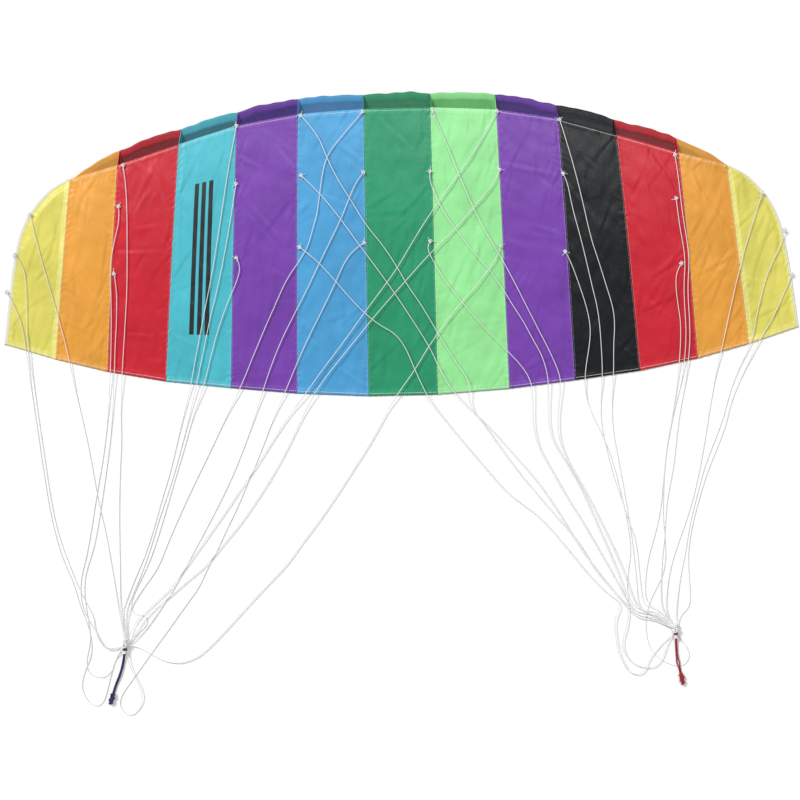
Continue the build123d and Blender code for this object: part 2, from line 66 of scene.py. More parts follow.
# The way that each bridle line lies, seen from above, in millimetres: rib number and row, then its
# points from the seam to the tow knot.
ROUTES: dict[str, tuple[tuple[int, int], ...]] = {
    "0A": ((-738, 75), (-718, -12), (-692, -106), (-676, -167), (-665, -221), (-654, -285),
        (-638, -358), (-626, -426), (-615, -500), (-601, -563), (-590, -635), (-582, -691),
        (-577, -731), (-571, -759)),
    "0B": ((-770, -5), (-755, -25), (-749, -51), (-748, -105), (-749, -161), (-745, -207),
        (-738, -263), (-731, -328), (-722, -396), (-712, -478), (-703, -534), (-691, -582),
        (-676, -625), (-657, -675), (-640, -710), (-629, -730), (-627, -754), (-620, -778),
        (-606, -796), (-590, -801)),
    "0C": ((-788, -78), (-767, -119), (-756, -163), (-750, -207), (-743, -279), (-733, -355),
        (-726, -414), (-718, -476), (-709, -534), (-697, -586), (-683, -629), (-667, -665),
        (-656, -709), (-643, -742), (-634, -778), (-635, -810), (-647, -834), (-657, -865),
        (-652, -888), (-639, -906), (-624, -911), (-613, -902), (-605, -880), (-599, -855),
        (-592, -833), (-585, -813)),
    "2A": ((-547, 167), (-542, 136), (-540, 80), (-541, 22), (-544, -76), (-551, -152),
        (-559, -229), (-566, -317), (-565, -379), (-570, -439), (-574, -537), (-574, -615),
        (-575, -691), (-574, -723), (-571, -755)),
    "2B": ((-557, 85), (-555, 61), (-566, 21), (-575, -19), (-578, -59), (-577, -103), (-579, -165),
        (-584, -243), (-591, -331), (-603, -416), (-616, -478), (-629, -552), (-640, -608),
        (-651, -645), (-655, -677), (-652, -709), (-641, -736), (-623, -764), (-612, -786),
        (-598, -799)),
    "2C": ((-570, -48), (-565, -75), (-567, -135), (-573, -198), (-576, -247), (-585, -359),
        (-594, -421), (-609, -511), (-623, -585), (-636, -623), (-645, -652), (-647, -684),
        (-644, -715), (-637, -758), (-638, -788), (-646, -818), (-644, -840), (-629, -852),
        (-609, -854), (-595, -841), (-589, -821), (-580, -803)),
    "4A": ((-319, 239), (-337, 152), (-357, 36), (-376, -63), (-393, -134), (-417, -240),
        (-426, -282), (-448, -362), (-469, -445), (-484, -489), (-511, -577), (-528, -622),
        (-547, -662), (-562, -699), (-572, -723), (-569, -751)),
    "4B": ((-322, 123), (-336, 42), (-359, -64), (-377, -127), (-392, -187), (-412, -271),
        (-436, -362), (-458, -438), (-477, -493), (-496, -545), (-511, -593), (-529, -642),
        (-548, -684), (-564, -721), (-565, -751)),
    "4C": ((-325, -23), (-317, -37), (-323, -65), (-347, -114), (-374, -187), (-396, -271),
        (-422, -337), (-441, -402), (-461, -462), (-478, -517), (-495, -569), (-512, -617),
        (-533, -660), (-552, -696), (-554, -720), (-543, -730), (-523, -732), (-521, -750),
        (-546, -770)),
    "6A": ((-68, 261), (-116, 206), (-141, 175), (-153, 128), (-161, 64), (-174, 24), (-182, -3),
        (-197, -28), (-225, -65), (-247, -110), (-285, -190), (-325, -281), (-356, -340),
        (-387, -403), (-427, -480), (-456, -540), (-481, -595), (-498, -637), (-528, -676),
        (-553, -712), (-563, -739), (-563, -765)),
    "6B": ((-69, 140), (-85, 120), (-99, 88), (-117, 45), (-161, -38), (-186, -88), (-209, -129),
        (-239, -185), (-259, -230), (-280, -286), (-301, -349), (-323, -405), (-345, -456),
        (-369, -504), (-403, -566), (-435, -622), (-463, -674), (-507, -737), (-534, -770)),
    "6C": ((-71, 1), (-94, -14), (-112, -39), (-130, -77), (-157, -130), (-185, -181), (-211, -235),
        (-235, -289), (-263, -348), (-293, -423), (-314, -467), (-336, -518), (-356, -556),
        (-376, -598), (-399, -639), (-418, -679), (-447, -716), (-477, -757), (-518, -810),
        (-552, -856), (-576, -887), (-582, -907), (-573, -925), (-557, -932), (-540, -918),
        (-534, -896), (-539, -872), (-551, -848), (-561, -823)),
    "8A": ((198, 256), (162, 192), (119, 131), (77, 78), (30, 9), (-7, -52), (-42, -97),
        (-76, -140), (-120, -199), (-160, -248), (-191, -290), (-230, -339), (-271, -399),
        (-296, -437), (-325, -477), (-362, -529), (-407, -590), (-442, -636), (-475, -681),
        (-513, -713), (-543, -740), (-557, -768)),
    "8B": ((200, 139), (193, 120), (170, 90), (109, 22), (57, -25), (8, -78), (-27, -115),
        (-61, -153), (-103, -203), (-146, -253), (-175, -291), (-202, -340), (-235, -405),
        (-262, -452), (-289, -493), (-330, -551), (-370, -596), (-402, -635), (-435, -660),
        (-472, -691), (-514, -725), (-537, -752), (-552, -776)),
    "8C": ((200, -11), (192, -32), (176, -56), (148, -91), (120, -121), (95, -150), (72, -180),
        (47, -215), (24, -253), (-8, -295), (-29, -327), (-52, -369), (-77, -410), (-110, -458),
        (-141, -504), (-181, -559), (-212, -597), (-241, -637), (-281, -676), (-318, -714),
        (-367, -766), (-411, -809), (-435, -822), (-460, -829), (-492, -823), (-520, -806),
        (-544, -792)),
    "5A": ((-191, 256), (-159, 220), (-142, 173), (-123, 131), (-98, 90), (-67, 36), (-34, -5),
        (-7, -48), (12, -84), (39, -123), (72, -182), (106, -240), (126, -267), (132, -291),
        (131, -316), (142, -341), (163, -368), (209, -437), (243, -482), (299, -550), (343, -602),
        (374, -659), (406, -697), (438, -732), (461, -755), (487, -755)),
    "5B": ((-193, 137), (-154, 98), (-115, 47), (-79, -6), (-49, -47), (-14, -98), (21, -153),
        (54, -207), (74, -254), (95, -292), (132, -333), (166, -364), (212, -419), (256, -470),
        (293, -523), (332, -590), (358, -632), (385, -669), (414, -706), (439, -740), (463, -761),
        (491, -761)),
    "5C": ((-199, -5), (-184, -17), (-160, -38), (-128, -75), (-98, -112), (-71, -140), (-44, -163),
        (-16, -178), (5, -204), (24, -253), (49, -309), (70, -338), (113, -393), (161, -452),
        (201, -500), (239, -530), (268, -552), (309, -601), (336, -636), (363, -670), (396, -705),
        (422, -724), (423, -740), (413, -756), (412, -780), (419, -830), (435, -862), (454, -873),
        (471, -863), (477, -843), (498, -819), (518, -800)),
    "7A": ((70, 258), (91, 206), (119, 131), (146, 65), (164, 28), (182, -5), (199, -33),
        (226, -85), (262, -160), (294, -223), (314, -271), (314, -305), (309, -341), (307, -388),
        (322, -435), (357, -498), (389, -565), (418, -628), (437, -678), (450, -722), (469, -747),
        (495, -753)),
    "7B": ((63, 139), (60, 125), (70, 94), (84, 64), (102, 36), (132, -6), (155, -34), (178, -60),
        (200, -93), (221, -129), (242, -162), (258, -194), (279, -232), (289, -271), (290, -311),
        (289, -375), (301, -409), (322, -443), (352, -498), (381, -569), (408, -633), (427, -684),
        (440, -728), (439, -766), (426, -802), (429, -826), (445, -848), (471, -859), (493, -855),
        (507, -838), (514, -816), (524, -798)),
    "7C": ((60, 1), (55, -7), (56, -21), (67, -42), (84, -72), (114, -112), (149, -155),
        (175, -184), (203, -213), (235, -247), (252, -273), (259, -302), (258, -358), (265, -406),
        (284, -443), (305, -481), (324, -517), (348, -556), (371, -597), (394, -639), (421, -690),
        (436, -722), (459, -749), (487, -749)),
    "9A": ((322, 237), (339, 178), (360, 90), (378, 1), (393, -45), (406, -89), (421, -138),
        (424, -172), (421, -214), (421, -266), (416, -328), (417, -384), (427, -440), (440, -524),
        (449, -588), (454, -637), (458, -689), (460, -733), (479, -749), (503, -755)),
    "9B": ((326, 129), (334, 114), (342, 64), (358, 2), (369, -46), (380, -97), (391, -143),
        (396, -199), (399, -276), (394, -322), (394, -373), (406, -432), (419, -484), (436, -532),
        (445, -588), (448, -628), (439, -676), (438, -708), (451, -736), (475, -745), (501, -748)),
    "9C": ((327, -25), (336, -40), (353, -88), (369, -138), (376, -179), (372, -217), (366, -250),
        (363, -280), (366, -321), (380, -357), (395, -389), (412, -432), (427, -492), (438, -546),
        (451, -581), (460, -613), (466, -701), (472, -733), (489, -739), (511, -750)),
    "11A": ((550, 163), (556, 119), (559, 75), (565, 25), (572, -19), (574, -53), (571, -89),
        (571, -125), (574, -169), (574, -215), (567, -281), (555, -333), (546, -384), (537, -460),
        (521, -526), (517, -588), (510, -639), (506, -696), (506, -737), (519, -762)),
    "11B": ((550, 76), (555, 25), (563, -19), (566, -53), (563, -89), (563, -125), (566, -173),
        (566, -215), (559, -281), (546, -324), (531, -386), (521, -439), (515, -486), (510, -537),
        (499, -585), (482, -637), (474, -689), (475, -723), (493, -741), (513, -756)),
    "11C": ((558, -53), (549, -68), (546, -92), (550, -133), (557, -177), (552, -265), (538, -352),
        (525, -406), (516, -484), (513, -564), (518, -618), (514, -667), (494, -705), (480, -733),
        (473, -767), (476, -803), (485, -827), (507, -846), (531, -856), (549, -855), (561, -839),
        (556, -819), (542, -801)),
    "13A": ((725, 86), (705, 30), (686, -28), (670, -87), (653, -155), (642, -205), (635, -234),
        (623, -286), (609, -358), (597, -426), (579, -507), (561, -563), (538, -622), (524, -668),
        (516, -716), (515, -746), (525, -768)),
    "13B": ((768, 11), (762, -11), (749, -41), (730, -79), (718, -120), (707, -164), (698, -209),
        (688, -232), (670, -268), (652, -313), (637, -367), (612, -426), (595, -470), (585, -507),
        (567, -569), (557, -629), (545, -679), (538, -726), (535, -756)),
    "13C": ((780, -78), (759, -129), (736, -173), (709, -216), (679, -277), (663, -311),
        (652, -341), (644, -375), (623, -426), (603, -472), (591, -508), (573, -567), (562, -625),
        (562, -669), (565, -721), (560, -741), (547, -753), (541, -764)),
}
# The way that each leader lies, from its tow knot to its end knot.
LEFT_LEADER = ((-568, -801), (-571, -823), (-579, -849), (-590, -874), (-596, -895))
RIGHT_LEADER = ((533, -795), (534, -818), (535, -842), (540, -862), (543, -881))
LEFT_RIBS = ("0", "2", "4", "6", "8")
RIGHT_RIBS = ("5", "7", "9", "11", "13")
# How many crossing depths above the cloth each rib's lines lie.
LAYERS = {"8": 1, "5": 2, "7": 2}
ROW_LIFT = {"A": 0.0036, "B": 0.0018, "C": 0.0}
# A stretch of a line, by point number, that rides over a lower stretch of the same line.
HUMPS = {"6C": (25, 29, 0.0036)}


class Side(Enum):
    """Left or right half of the kite, seen from above with the leading edge away."""

    LEFT = "left"
    RIGHT = "right"

    @property
    def sign(self) -> int:
        """-1 on the left and +1 on the right."""
        return -1 if self is Side.LEFT else 1


class Dye(Enum):
    """Cloth colours: record slot, face, lighter doubled cloth plus painted highlight, painted inlet
    shade.
    """

    YELLOW = ("yellow_cloth", "#DAD260", "#ECE58A", "#A69E40")
    ORANGE = ("orange_cloth", "#E59E3C", "#EBAD5A", "#BC873A")
    RED = ("red_cloth", "#CA1D2F", "#CE3641", "#700810")
    TURQUOISE = ("turquoise_cloth", "#4BBAC9", "#64C4D1", "#286674")
    PURPLE = ("purple_cloth", "#7640AA", "#8454B4", "#33176C")
    BLUE = ("blue_cloth", "#4CA0D5", "#62AEDC", "#38709F")
    DARK_GREEN = ("dark_green_cloth", "#26966A", "#3CA478", "#21754F")
    LIGHT_GREEN = ("light_green_cloth", "#96E697", "#A6ECA5", "#5AA65C")
    BLACK = ("black_cloth", "#0A0E12", "#1A1F23", "#13191D")

    @property
    def slot(self) -> str:
        """The record's material slot."""
        return self.value[0]


CELL_DYES = (
    Dye.YELLOW, Dye.ORANGE, Dye.RED, Dye.TURQUOISE, Dye.PURPLE, Dye.BLUE, Dye.DARK_GREEN,
    Dye.LIGHT_GREEN, Dye.PURPLE, Dye.BLACK, Dye.RED, Dye.ORANGE, Dye.YELLOW,
)


# ---------------------------------------------------------------------------- finishes


def linear(hex_colour: str) -> tuple[float, float, float, float]:
    """Turn an sRGB hex colour into the linear RGBA that a shader takes.

    Args:
        hex_colour: Colour such as "#CB2A38".

    Returns:
        Linear red, green, blue and an alpha of 1.
    """
    parts = np.array([int(hex_colour[i:i + 2], 16) for i in (1, 3, 5)]) / 255
    values = np.where(parts <= 0.04045, parts / 12.92, ((parts + 0.055) / 1.055) ** 2.4)
    return (float(values[0]), float(values[1]), float(values[2]), 1.0)


def add(tree: bpy.types.NodeTree, kind: str, inputs: dict, **settings) -> bpy.types.Node:
    """Add a node with its settings and its links.

    Args:
        tree: Node tree of the material.
        kind: Node type.
        inputs: Socket name or number to a value, or to the output that feeds it.
        **settings: Properties of the node itself.

    Returns:
        The new node.
    """
    node = tree.nodes.new(kind)
    for name, value in settings.items():
        setattr(node, name, value)
    for socket, value in inputs.items():
        if isinstance(value, bpy.types.NodeSocket):
            tree.links.new(value, node.inputs[socket])
        else:
            node.inputs[socket].default_value = value
    return node


def blank(name: str) -> tuple[bpy.types.Material, bpy.types.NodeTree]:
    """Start a material with an empty node tree.

    Args:
        name: Name of the real material and how it was made.

    Returns:
        The material and its tree.
    """
    material = bpy.data.materials.new(name)
    material.use_nodes = True
    material.node_tree.nodes.clear()
    return material, material.node_tree


@dataclass(frozen=True)
class CoatedPolyester:
    """Polyester taffeta, woven, dyed and coated: a satin face with soft cloudy creases."""

    dye: Dye
    roughness: float = 0.42
    # The studio light is bright enough to bleach the floor, so the dye is toned down to suit it.
    tone: float = 0.88
    cloud_scale: float = 11.0
    crease_scale: float = 26.0
    # Creases run mostly down the chord, so their pattern is stretched along Y.
    crease_stretch: tuple = (1.0, 0.38, 1.0)
    # A 5 mm ripstop grid: the wave texture's period is 0.314 / scale.
    grid_scale: float = 62.8

    def material(self) -> bpy.types.Material:
        """Build the material: dye, cloudy shade, hems lighter with painted highlight, painted inlet
        shade, creases, grid.

        Returns:
            The finished material.
        """
        # The inlet colour is painted shade, and the doubled colour is lighter cloth with a painted
        # highlight.
        slot, face, doubled, inlet = self.dye.value
        material, tree = blank(f"{slot}_coated_woven_polyester")
        place = add(tree, "ShaderNodeTexCoord", {})
        around = place.outputs["Object"]
        cloud = add(tree, "ShaderNodeTexNoise",
                    {"Vector": around, "Scale": self.cloud_scale, "Detail": 4.0})
        light = add(tree, "ShaderNodeMapRange",
                    {"Value": cloud.outputs[0], "From Min": 0.3, "From Max": 0.7,
                     "To Min": self.tone - 0.07, "To Max": self.tone + 0.07})
        # Masks: the doubled cloth's lightening with painted highlight, and the painted inlet shade.
        hem = add(tree, "ShaderNodeAttribute", {}, attribute_name="hem")
        inside = add(tree, "ShaderNodeAttribute", {}, attribute_name="inside")
        dyed = add(tree, "ShaderNodeMix",
                   {0: hem.outputs["Fac"], 6: linear(face), 7: linear(doubled)}, data_type="RGBA")
        shaded = add(tree, "ShaderNodeMix",
                     {0: inside.outputs["Fac"], 6: dyed.outputs[2], 7: linear(inlet)},
                     data_type="RGBA")
        threads = [add(tree, "ShaderNodeTexWave",
                       {"Vector": place.outputs["UV"], "Scale": self.grid_scale},
                       bands_direction=axis) for axis in ("X", "Y")]
        grid = add(tree, "ShaderNodeMath",
                   {0: threads[0].outputs["Fac"], 1: threads[1].outputs["Fac"]},
                   operation="MAXIMUM")
        ridge = add(tree, "ShaderNodeMapRange",
                    {"Value": grid.outputs[0], "From Min": 0.93, "From Max": 1.0,
                     "To Min": 0.0, "To Max": 1.0})
        toned = add(tree, "ShaderNodeVectorMath",
                    {0: shaded.outputs[2], "Scale": light.outputs[0]}, operation="SCALE")
        drawn = add(tree, "ShaderNodeMapping",
                    {"Vector": around, "Scale": self.crease_stretch})
        crease = add(tree, "ShaderNodeTexNoise",
                     {"Vector": drawn.outputs[0], "Scale": self.crease_scale, "Detail": 8.0,
                      "Roughness": 0.62, "Distortion": 0.25})
        crumple = add(tree, "ShaderNodeBump",
                      {"Strength": 0.6, "Distance": 0.0042, "Height": crease.outputs[0]})
        woven = add(tree, "ShaderNodeBump",
                    {"Strength": 0.25, "Distance": 0.0001, "Height": ridge.outputs[0],
                     "Normal": crumple.outputs[0]})
        shader = add(tree, "ShaderNodeBsdfPrincipled",
                     {"Base Color": toned.outputs[0], "Roughness": self.roughness, "IOR": 1.5,
                      "Specular IOR Level": 0.3, "Sheen Weight": 0.02, "Coat Weight": 0.03,
                      "Coat Roughness": 0.28, "Normal": woven.outputs[0]})
        add(tree, "ShaderNodeOutputMaterial", {"Surface": shader.outputs[0]})
        return material


@dataclass(frozen=True)
class BraidedCord:
    """Polyester cord, braided: fine slanting strands that give a matt, softly ribbed thread."""

    name: str
    colour: str
    strand: float = 0.0009
    # Painted shade in the gaps between the strands: how dark it is, as a share of the colour.
    shade: float = 0.9
    roughness: float = 0.62

    def material(self) -> bpy.types.Material:
        """Build the material: two slanting sets of strands, worked along the cord's own UV.

        Returns:
            The finished material.
        """
        material, tree = blank(f"{self.name}_braided_polyester")
        place = add(tree, "ShaderNodeTexCoord", {})
        period = 0.314 / self.strand
        waves = []
        for slant in (1.0, -1.0):
            turned = add(tree, "ShaderNodeMapping",
                         {"Vector": place.outputs["UV"], "Rotation": (0.0, 0.0, slant * 0.7)})
            waves.append(add(tree, "ShaderNodeTexWave",
                             {"Vector": turned.outputs[0], "Scale": period}))
        braid = add(tree, "ShaderNodeMath",
                    {0: waves[0].outputs["Fac"], 1: waves[1].outputs["Fac"]}, operation="MULTIPLY")
        # Painted shade for the gaps between the strands.
        dark = tuple(self.shade * c for c in linear(self.colour)[:3]) + (1.0,)
        colour = add(tree, "ShaderNodeMix",
                     {0: braid.outputs[0], 6: dark, 7: linear(self.colour)}, data_type="RGBA")
        bump = add(tree, "ShaderNodeBump",
                   {"Strength": 0.6, "Distance": 0.0002, "Height": braid.outputs[0]})
        shader = add(tree, "ShaderNodeBsdfPrincipled",
                     {"Base Color": colour.outputs[2], "Roughness": self.roughness, "IOR": 1.5,
                      "Sheen Weight": 0.15, "Normal": bump.outputs[0]})
        add(tree, "ShaderNodeOutputMaterial", {"Surface": shader.outputs[0]})
        return material


@dataclass(frozen=True)
class PlainFinish:
    """An even surface with a fine grain: thread, binding tape, printed ink or the floor."""

    name: str
    colour: str
    roughness: float = 0.6
    grain: float = 900.0
    depth: float = 0.00008
    specular: float = 0.4
    # How dark the mottle goes, as a share of the colour.
    mottle: float = 0.93

    def material(self) -> bpy.types.Material:
        """Build the material: its colour with a faint mottle, and a fine bump.

        Returns:
            The finished material.
        """
        material, tree = blank(self.name)
        place = add(tree, "ShaderNodeTexCoord", {})
        grain = add(tree, "ShaderNodeTexNoise",
                    {"Vector": place.outputs["Object"], "Scale": self.grain, "Detail": 3.0})
        base = linear(self.colour)
        dark = tuple(self.mottle * c for c in base[:3]) + (1.0,)
        mottle = add(tree, "ShaderNodeMix", {0: grain.outputs[0], 6: dark, 7: base},
                     data_type="RGBA")
        bump = add(tree, "ShaderNodeBump",
                   {"Strength": 0.4, "Distance": self.depth, "Height": grain.outputs[0]})
        shader = add(tree, "ShaderNodeBsdfPrincipled",
                     {"Base Color": mottle.outputs[2], "Roughness": self.roughness,
                      "Specular IOR Level": self.specular, "Normal": bump.outputs[0]})
        add(tree, "ShaderNodeOutputMaterial", {"Surface": shader.outputs[0]})
        return material


class Wardrobe:
    """Every finish of the kite, built once."""

    def __init__(self) -> None:
        """Build the cloths, cords, thread, tape and ink."""
        self.cloth = {dye: CoatedPolyester(dye).material() for dye in Dye}
        self.line = BraidedCord("white_bridle_line", "#E6E6E6").material()
        self.leader = {
            # The leaders take deeper painted shade between their strands, which also darkens each
            # cord overall.
            Side.LEFT: BraidedCord("navy_leader", "#182868", 0.0012, 0.45).material(),
            Side.RIGHT: BraidedCord("red_leader", "#A81827", 0.0012, 0.6).material(),
        }
        # Spun sewing thread: a soft, dull white.
        self.thread = PlainFinish("white_spun_sewing_thread", "#F4F3F0", 0.75).material()
        # Woven nylon tape, folded over a raw edge: dull, and a little grey.
        self.tape = PlainFinish("grey_woven_binding_tape", "#D6D6D0", 0.7, 1400.0).material()
        # Screen-printed ink on cloth: a dense, half-matt black film.
        self.ink = PlainFinish("black_screen_printed_ink", "#1B1D1F", 0.5, 500.0).material()


# ---------------------------------------------------------------------------- meshes


class MeshBuffer:
    """Collects grids of points into one mesh with UVs and masks."""

    def __init__(self) -> None:
        """Start empty."""
        self.points: list[Array] = []
        self.faces: list[Array] = []
        self.uvs: list[Array] = []
        # Masks: lighter doubled cloth with a painted highlight, and painted inlet shade.
        self.masks: dict[str, list[Array]] = {"hem": [], "inside": []}
        self.caps: list[tuple[int, ...]] = []
        self.count = 0

    def grid(self, points: Array, uv: Array, wrap: bool = False, loop: bool = False,
             **masks: Array) -> None:
        """Add a grid: each 2 by 2 block of neighbouring points is one face.

        Args:
            points: Rows by columns by 3.
            uv: Rows by columns by 2 in metres, with one more column if it wraps.
            wrap: The last column joins the first, as round a tube, whose ends are capped.
            loop: The last row joins the first, as along a ring.
            **masks: Rows by columns, from 0 to 1.
        """
        rows, columns = points.shape[:2]
        i, j = np.meshgrid(np.arange(rows if loop else rows - 1),
                           np.arange(columns if wrap else columns - 1), indexing="ij")
        below, right = (i + 1) % rows, (j + 1) % columns
        corners = [(i, j), (i, right), (below, right), (below, j)]
        number = np.stack([a * columns + b for a, b in corners], -1).reshape(-1, 4)
        wide = [(i, j), (i, j + 1), (below, j + 1), (below, j)]
        self.uvs.append(np.stack([uv[a, b] for a, b in wide], -2).reshape(-1, 2))
        self.faces.append(number + self.count)
        self.points.append(points.reshape(-1, 3))
        for name, stack in self.masks.items():
            stack.append(masks.get(name, np.zeros((rows, columns))).reshape(-1))
        if wrap and not loop:
            first = self.count + np.arange(columns)
            last = first + (rows - 1) * columns
            self.caps += [tuple(first[::-1].tolist()), tuple(last.tolist())]
        self.count += rows * columns

    def tube(self, path: Array, radius: float, sides: int = 8, loop: bool = False,
             flatten: float = 1.0) -> None:
        """Add a tube: a circle carried along a path, square to it.

        Args:
            path: Points by 3.
            radius: Radius of the circle.
            sides: Points round the circle.
            loop: The path closes on itself.
            flatten: Height as a share of the width.
        """
        ahead = np.roll(path, -1, 0) - np.roll(path, 1, 0)
        if not loop:
            ahead[0], ahead[-1] = path[1] - path[0], path[-1] - path[-2]
        ahead /= np.linalg.norm(ahead, axis=1, keepdims=True)
        level = np.cross(ahead, (0.013, 0.007, 1.0))
        level /= np.linalg.norm(level, axis=1, keepdims=True)
        upright = np.cross(level, ahead)
        turn = np.arange(sides + 1) * 2 * math.pi / sides
        ring = (level[:, None] * np.cos(turn[:-1])[:, None]
                + upright[:, None] * np.sin(turn[:-1])[:, None] * flatten)
        points = path[:, None] + ring * radius
        steps = np.linalg.norm(np.diff(path, axis=0, append=path[:1]), axis=1)
        along = np.concatenate([[0.0], np.cumsum(steps)])[:len(path)]
        uv = np.stack(np.broadcast_arrays(turn * radius, along[:, None]), -1)
        self.grid(points, uv, wrap=True, loop=loop)

    def finish(self, name: str, material: bpy.types.Material) -> bpy.types.Object:
        """Turn what was collected into an object.

        Args:
            name: Name of the piece.
            material: Its finish.

        Returns:
            The new object, smooth shaded, at the origin.
        """
        mesh = bpy.data.meshes.new(name)
        quads = np.concatenate(self.faces)
        mesh.from_pydata(np.concatenate(self.points).tolist(), [], quads.tolist() + self.caps)
        layer = mesh.uv_layers.new(name="UVMap")
        flat = np.zeros((len(mesh.loops), 2))
        uvs = np.concatenate(self.uvs)
        flat[:len(uvs)] = uvs
        layer.data.foreach_set("uv", flat.ravel())
        for mask, stack in self.masks.items():
            values = np.concatenate(stack)
            if values.any():
                attribute = mesh.attributes.new(mask, "FLOAT", "POINT")
                attribute.data.foreach_set("value", values)
        mesh.polygons.foreach_set("use_smooth", np.ones(len(mesh.polygons), bool))
        mesh.materials.append(material)
        mesh.update()
        piece = bpy.data.objects.new(name, mesh)
        bpy.context.scene.collection.objects.link(piece)
        return piece


def give_wall(sheet: bpy.types.Object, thickness: float) -> None:
    """Give a sheet its thickness, below the surface that was worked out."""
    wall = sheet.modifiers.new("thickness", "SOLIDIFY")
    wall.thickness = thickness
    wall.offset = -1.0


def ease(value: Array, width: float = 1.0) -> Array:
    """Smooth step: 0 at 0, 1 at width, with level ends (3t^2 - 2t^3)."""
    t = np.clip(np.asarray(value, float) / width, 0.0, 1.0)
    return t * t * (3 - 2 * t)


def wander(x: Array, y: Array, seed: int, longest: float, shortest: float) -> Array:
    """Smooth uneven field: a sum of sine waves in seeded directions, about -1 to 1.

    Args:
        x: Plan positions.
        y: Plan positions.
        seed: Which field.
        longest: Longest wave.
        shortest: Shortest wave.

    Returns:
        The field at each place.
    """
    draw = np.random.default_rng(seed)
    total = np.zeros(np.broadcast(x, y).shape)
    waves = np.geomspace(longest, shortest, 14)
    for wave, angle, phase in zip(waves, draw.uniform(0, math.pi, 14), draw.uniform(0, 6.28, 14)):
        step = 2 * math.pi / wave
        total += np.sin(step * (x * math.cos(angle) + y * math.sin(angle)) + phase)
    return total / 4.5


def creases(x: Array, y: Array, seed: int, count: int = 44) -> Array:
    """Short straight creases, most of them leaning along the chord.

    Each is a sharp valley exp(-|d| / 3 mm) beside a soft ridge, where d is the distance from its
    line, and it fades along its length as exp(-(t / length)^2).

    Args:
        x: Plan positions of a panel.
        y: Plan positions of a panel.
        seed: Which set.
        count: Number of creases.

    Returns:
        Heights.
    """
    valley, ridge = 3 * MM, 6 * MM
    draw = np.random.default_rng(seed)
    total = np.zeros(x.shape)
    for _ in range(count):
        middle = draw.uniform((x.min(), y.min()), (x.max(), y.max()))
        lean = draw.normal(math.pi / 2, 0.6)
        length, depth = draw.uniform(12, 60) * MM, draw.uniform(0.3, 1.1) * MM
        dx, dy = x - middle[0], y - middle[1]
        along = dx * math.cos(lean) + dy * math.sin(lean)
        off = dy * math.cos(lean) - dx * math.sin(lean)
        fold = 0.8 * np.exp(-((off - ridge) / ridge)**2) - np.exp(-np.abs(off) / valley)
        total += depth * fold * np.exp(-(along / length)**2)
    return total


def plan_points(route: tuple) -> Array:
    """Points of a route, from millimetres to metres."""
    return np.array(route) * MM


def smooth_route(points: Array) -> Array:
    """Read back the smooth line that a NURBS route of order 3 draws through its control points.

    Args:
        points: Control points by 3.

    Returns:
        Points along the line, from its first end to its last.
    """
    curve = bpy.data.curves.new("route", "CURVE")
    curve.dimensions = "3D"
    curve.resolution_u = 8
    spline = curve.splines.new("NURBS")
    spline.points.add(len(points) - 1)
    spline.points.foreach_set("co", np.c_[points, np.ones(len(points))].ravel())
    spline.order_u = 3
    spline.use_endpoint_u = True
    holder = bpy.data.objects.new("route", curve)
    bpy.context.scene.collection.objects.link(holder)
    graph = bpy.context.evaluated_depsgraph_get()
    mesh = bpy.data.meshes.new_from_object(holder.evaluated_get(graph))
    line = np.zeros(len(mesh.vertices) * 3)
    mesh.vertices.foreach_get("co", line)
    bpy.data.meshes.remove(mesh)
    bpy.data.objects.remove(holder)
    bpy.data.curves.remove(curve)
    return line.reshape(-1, 3)


def path_length(path: Array) -> float:
    """Length of a line of points."""
    return float(np.linalg.norm(np.diff(path, axis=0), axis=1).sum())


def trefoil(centre: Array, size: float, turn: float, thickness: float) -> Array:
    """Centre line of an overhand knot pulled tight: x = sin t + 2 sin 2t, y = cos t - 2 cos 2t.

    Args:
        centre: Middle of the knot.
        size: Half its width.
        turn: Turn about the vertical.
        thickness: Half its height.

    Returns:
        Points round the closed line.
    """
    t = np.linspace(0, 2 * math.pi, 40, endpoint=False)
    flat = np.stack([np.sin(t) + 2 * np.sin(2 * t), np.cos(t) - 2 * np.cos(2 * t)]) / 3 * size
    c, s = math.cos(turn), math.sin(turn)
    lift = -np.sin(3 * t) * thickness
    return np.stack([c * flat[0] - s * flat[1], s * flat[0] + c * flat[1], lift], -1) + centre


# ---------------------------------------------------------------------------- the laid kite


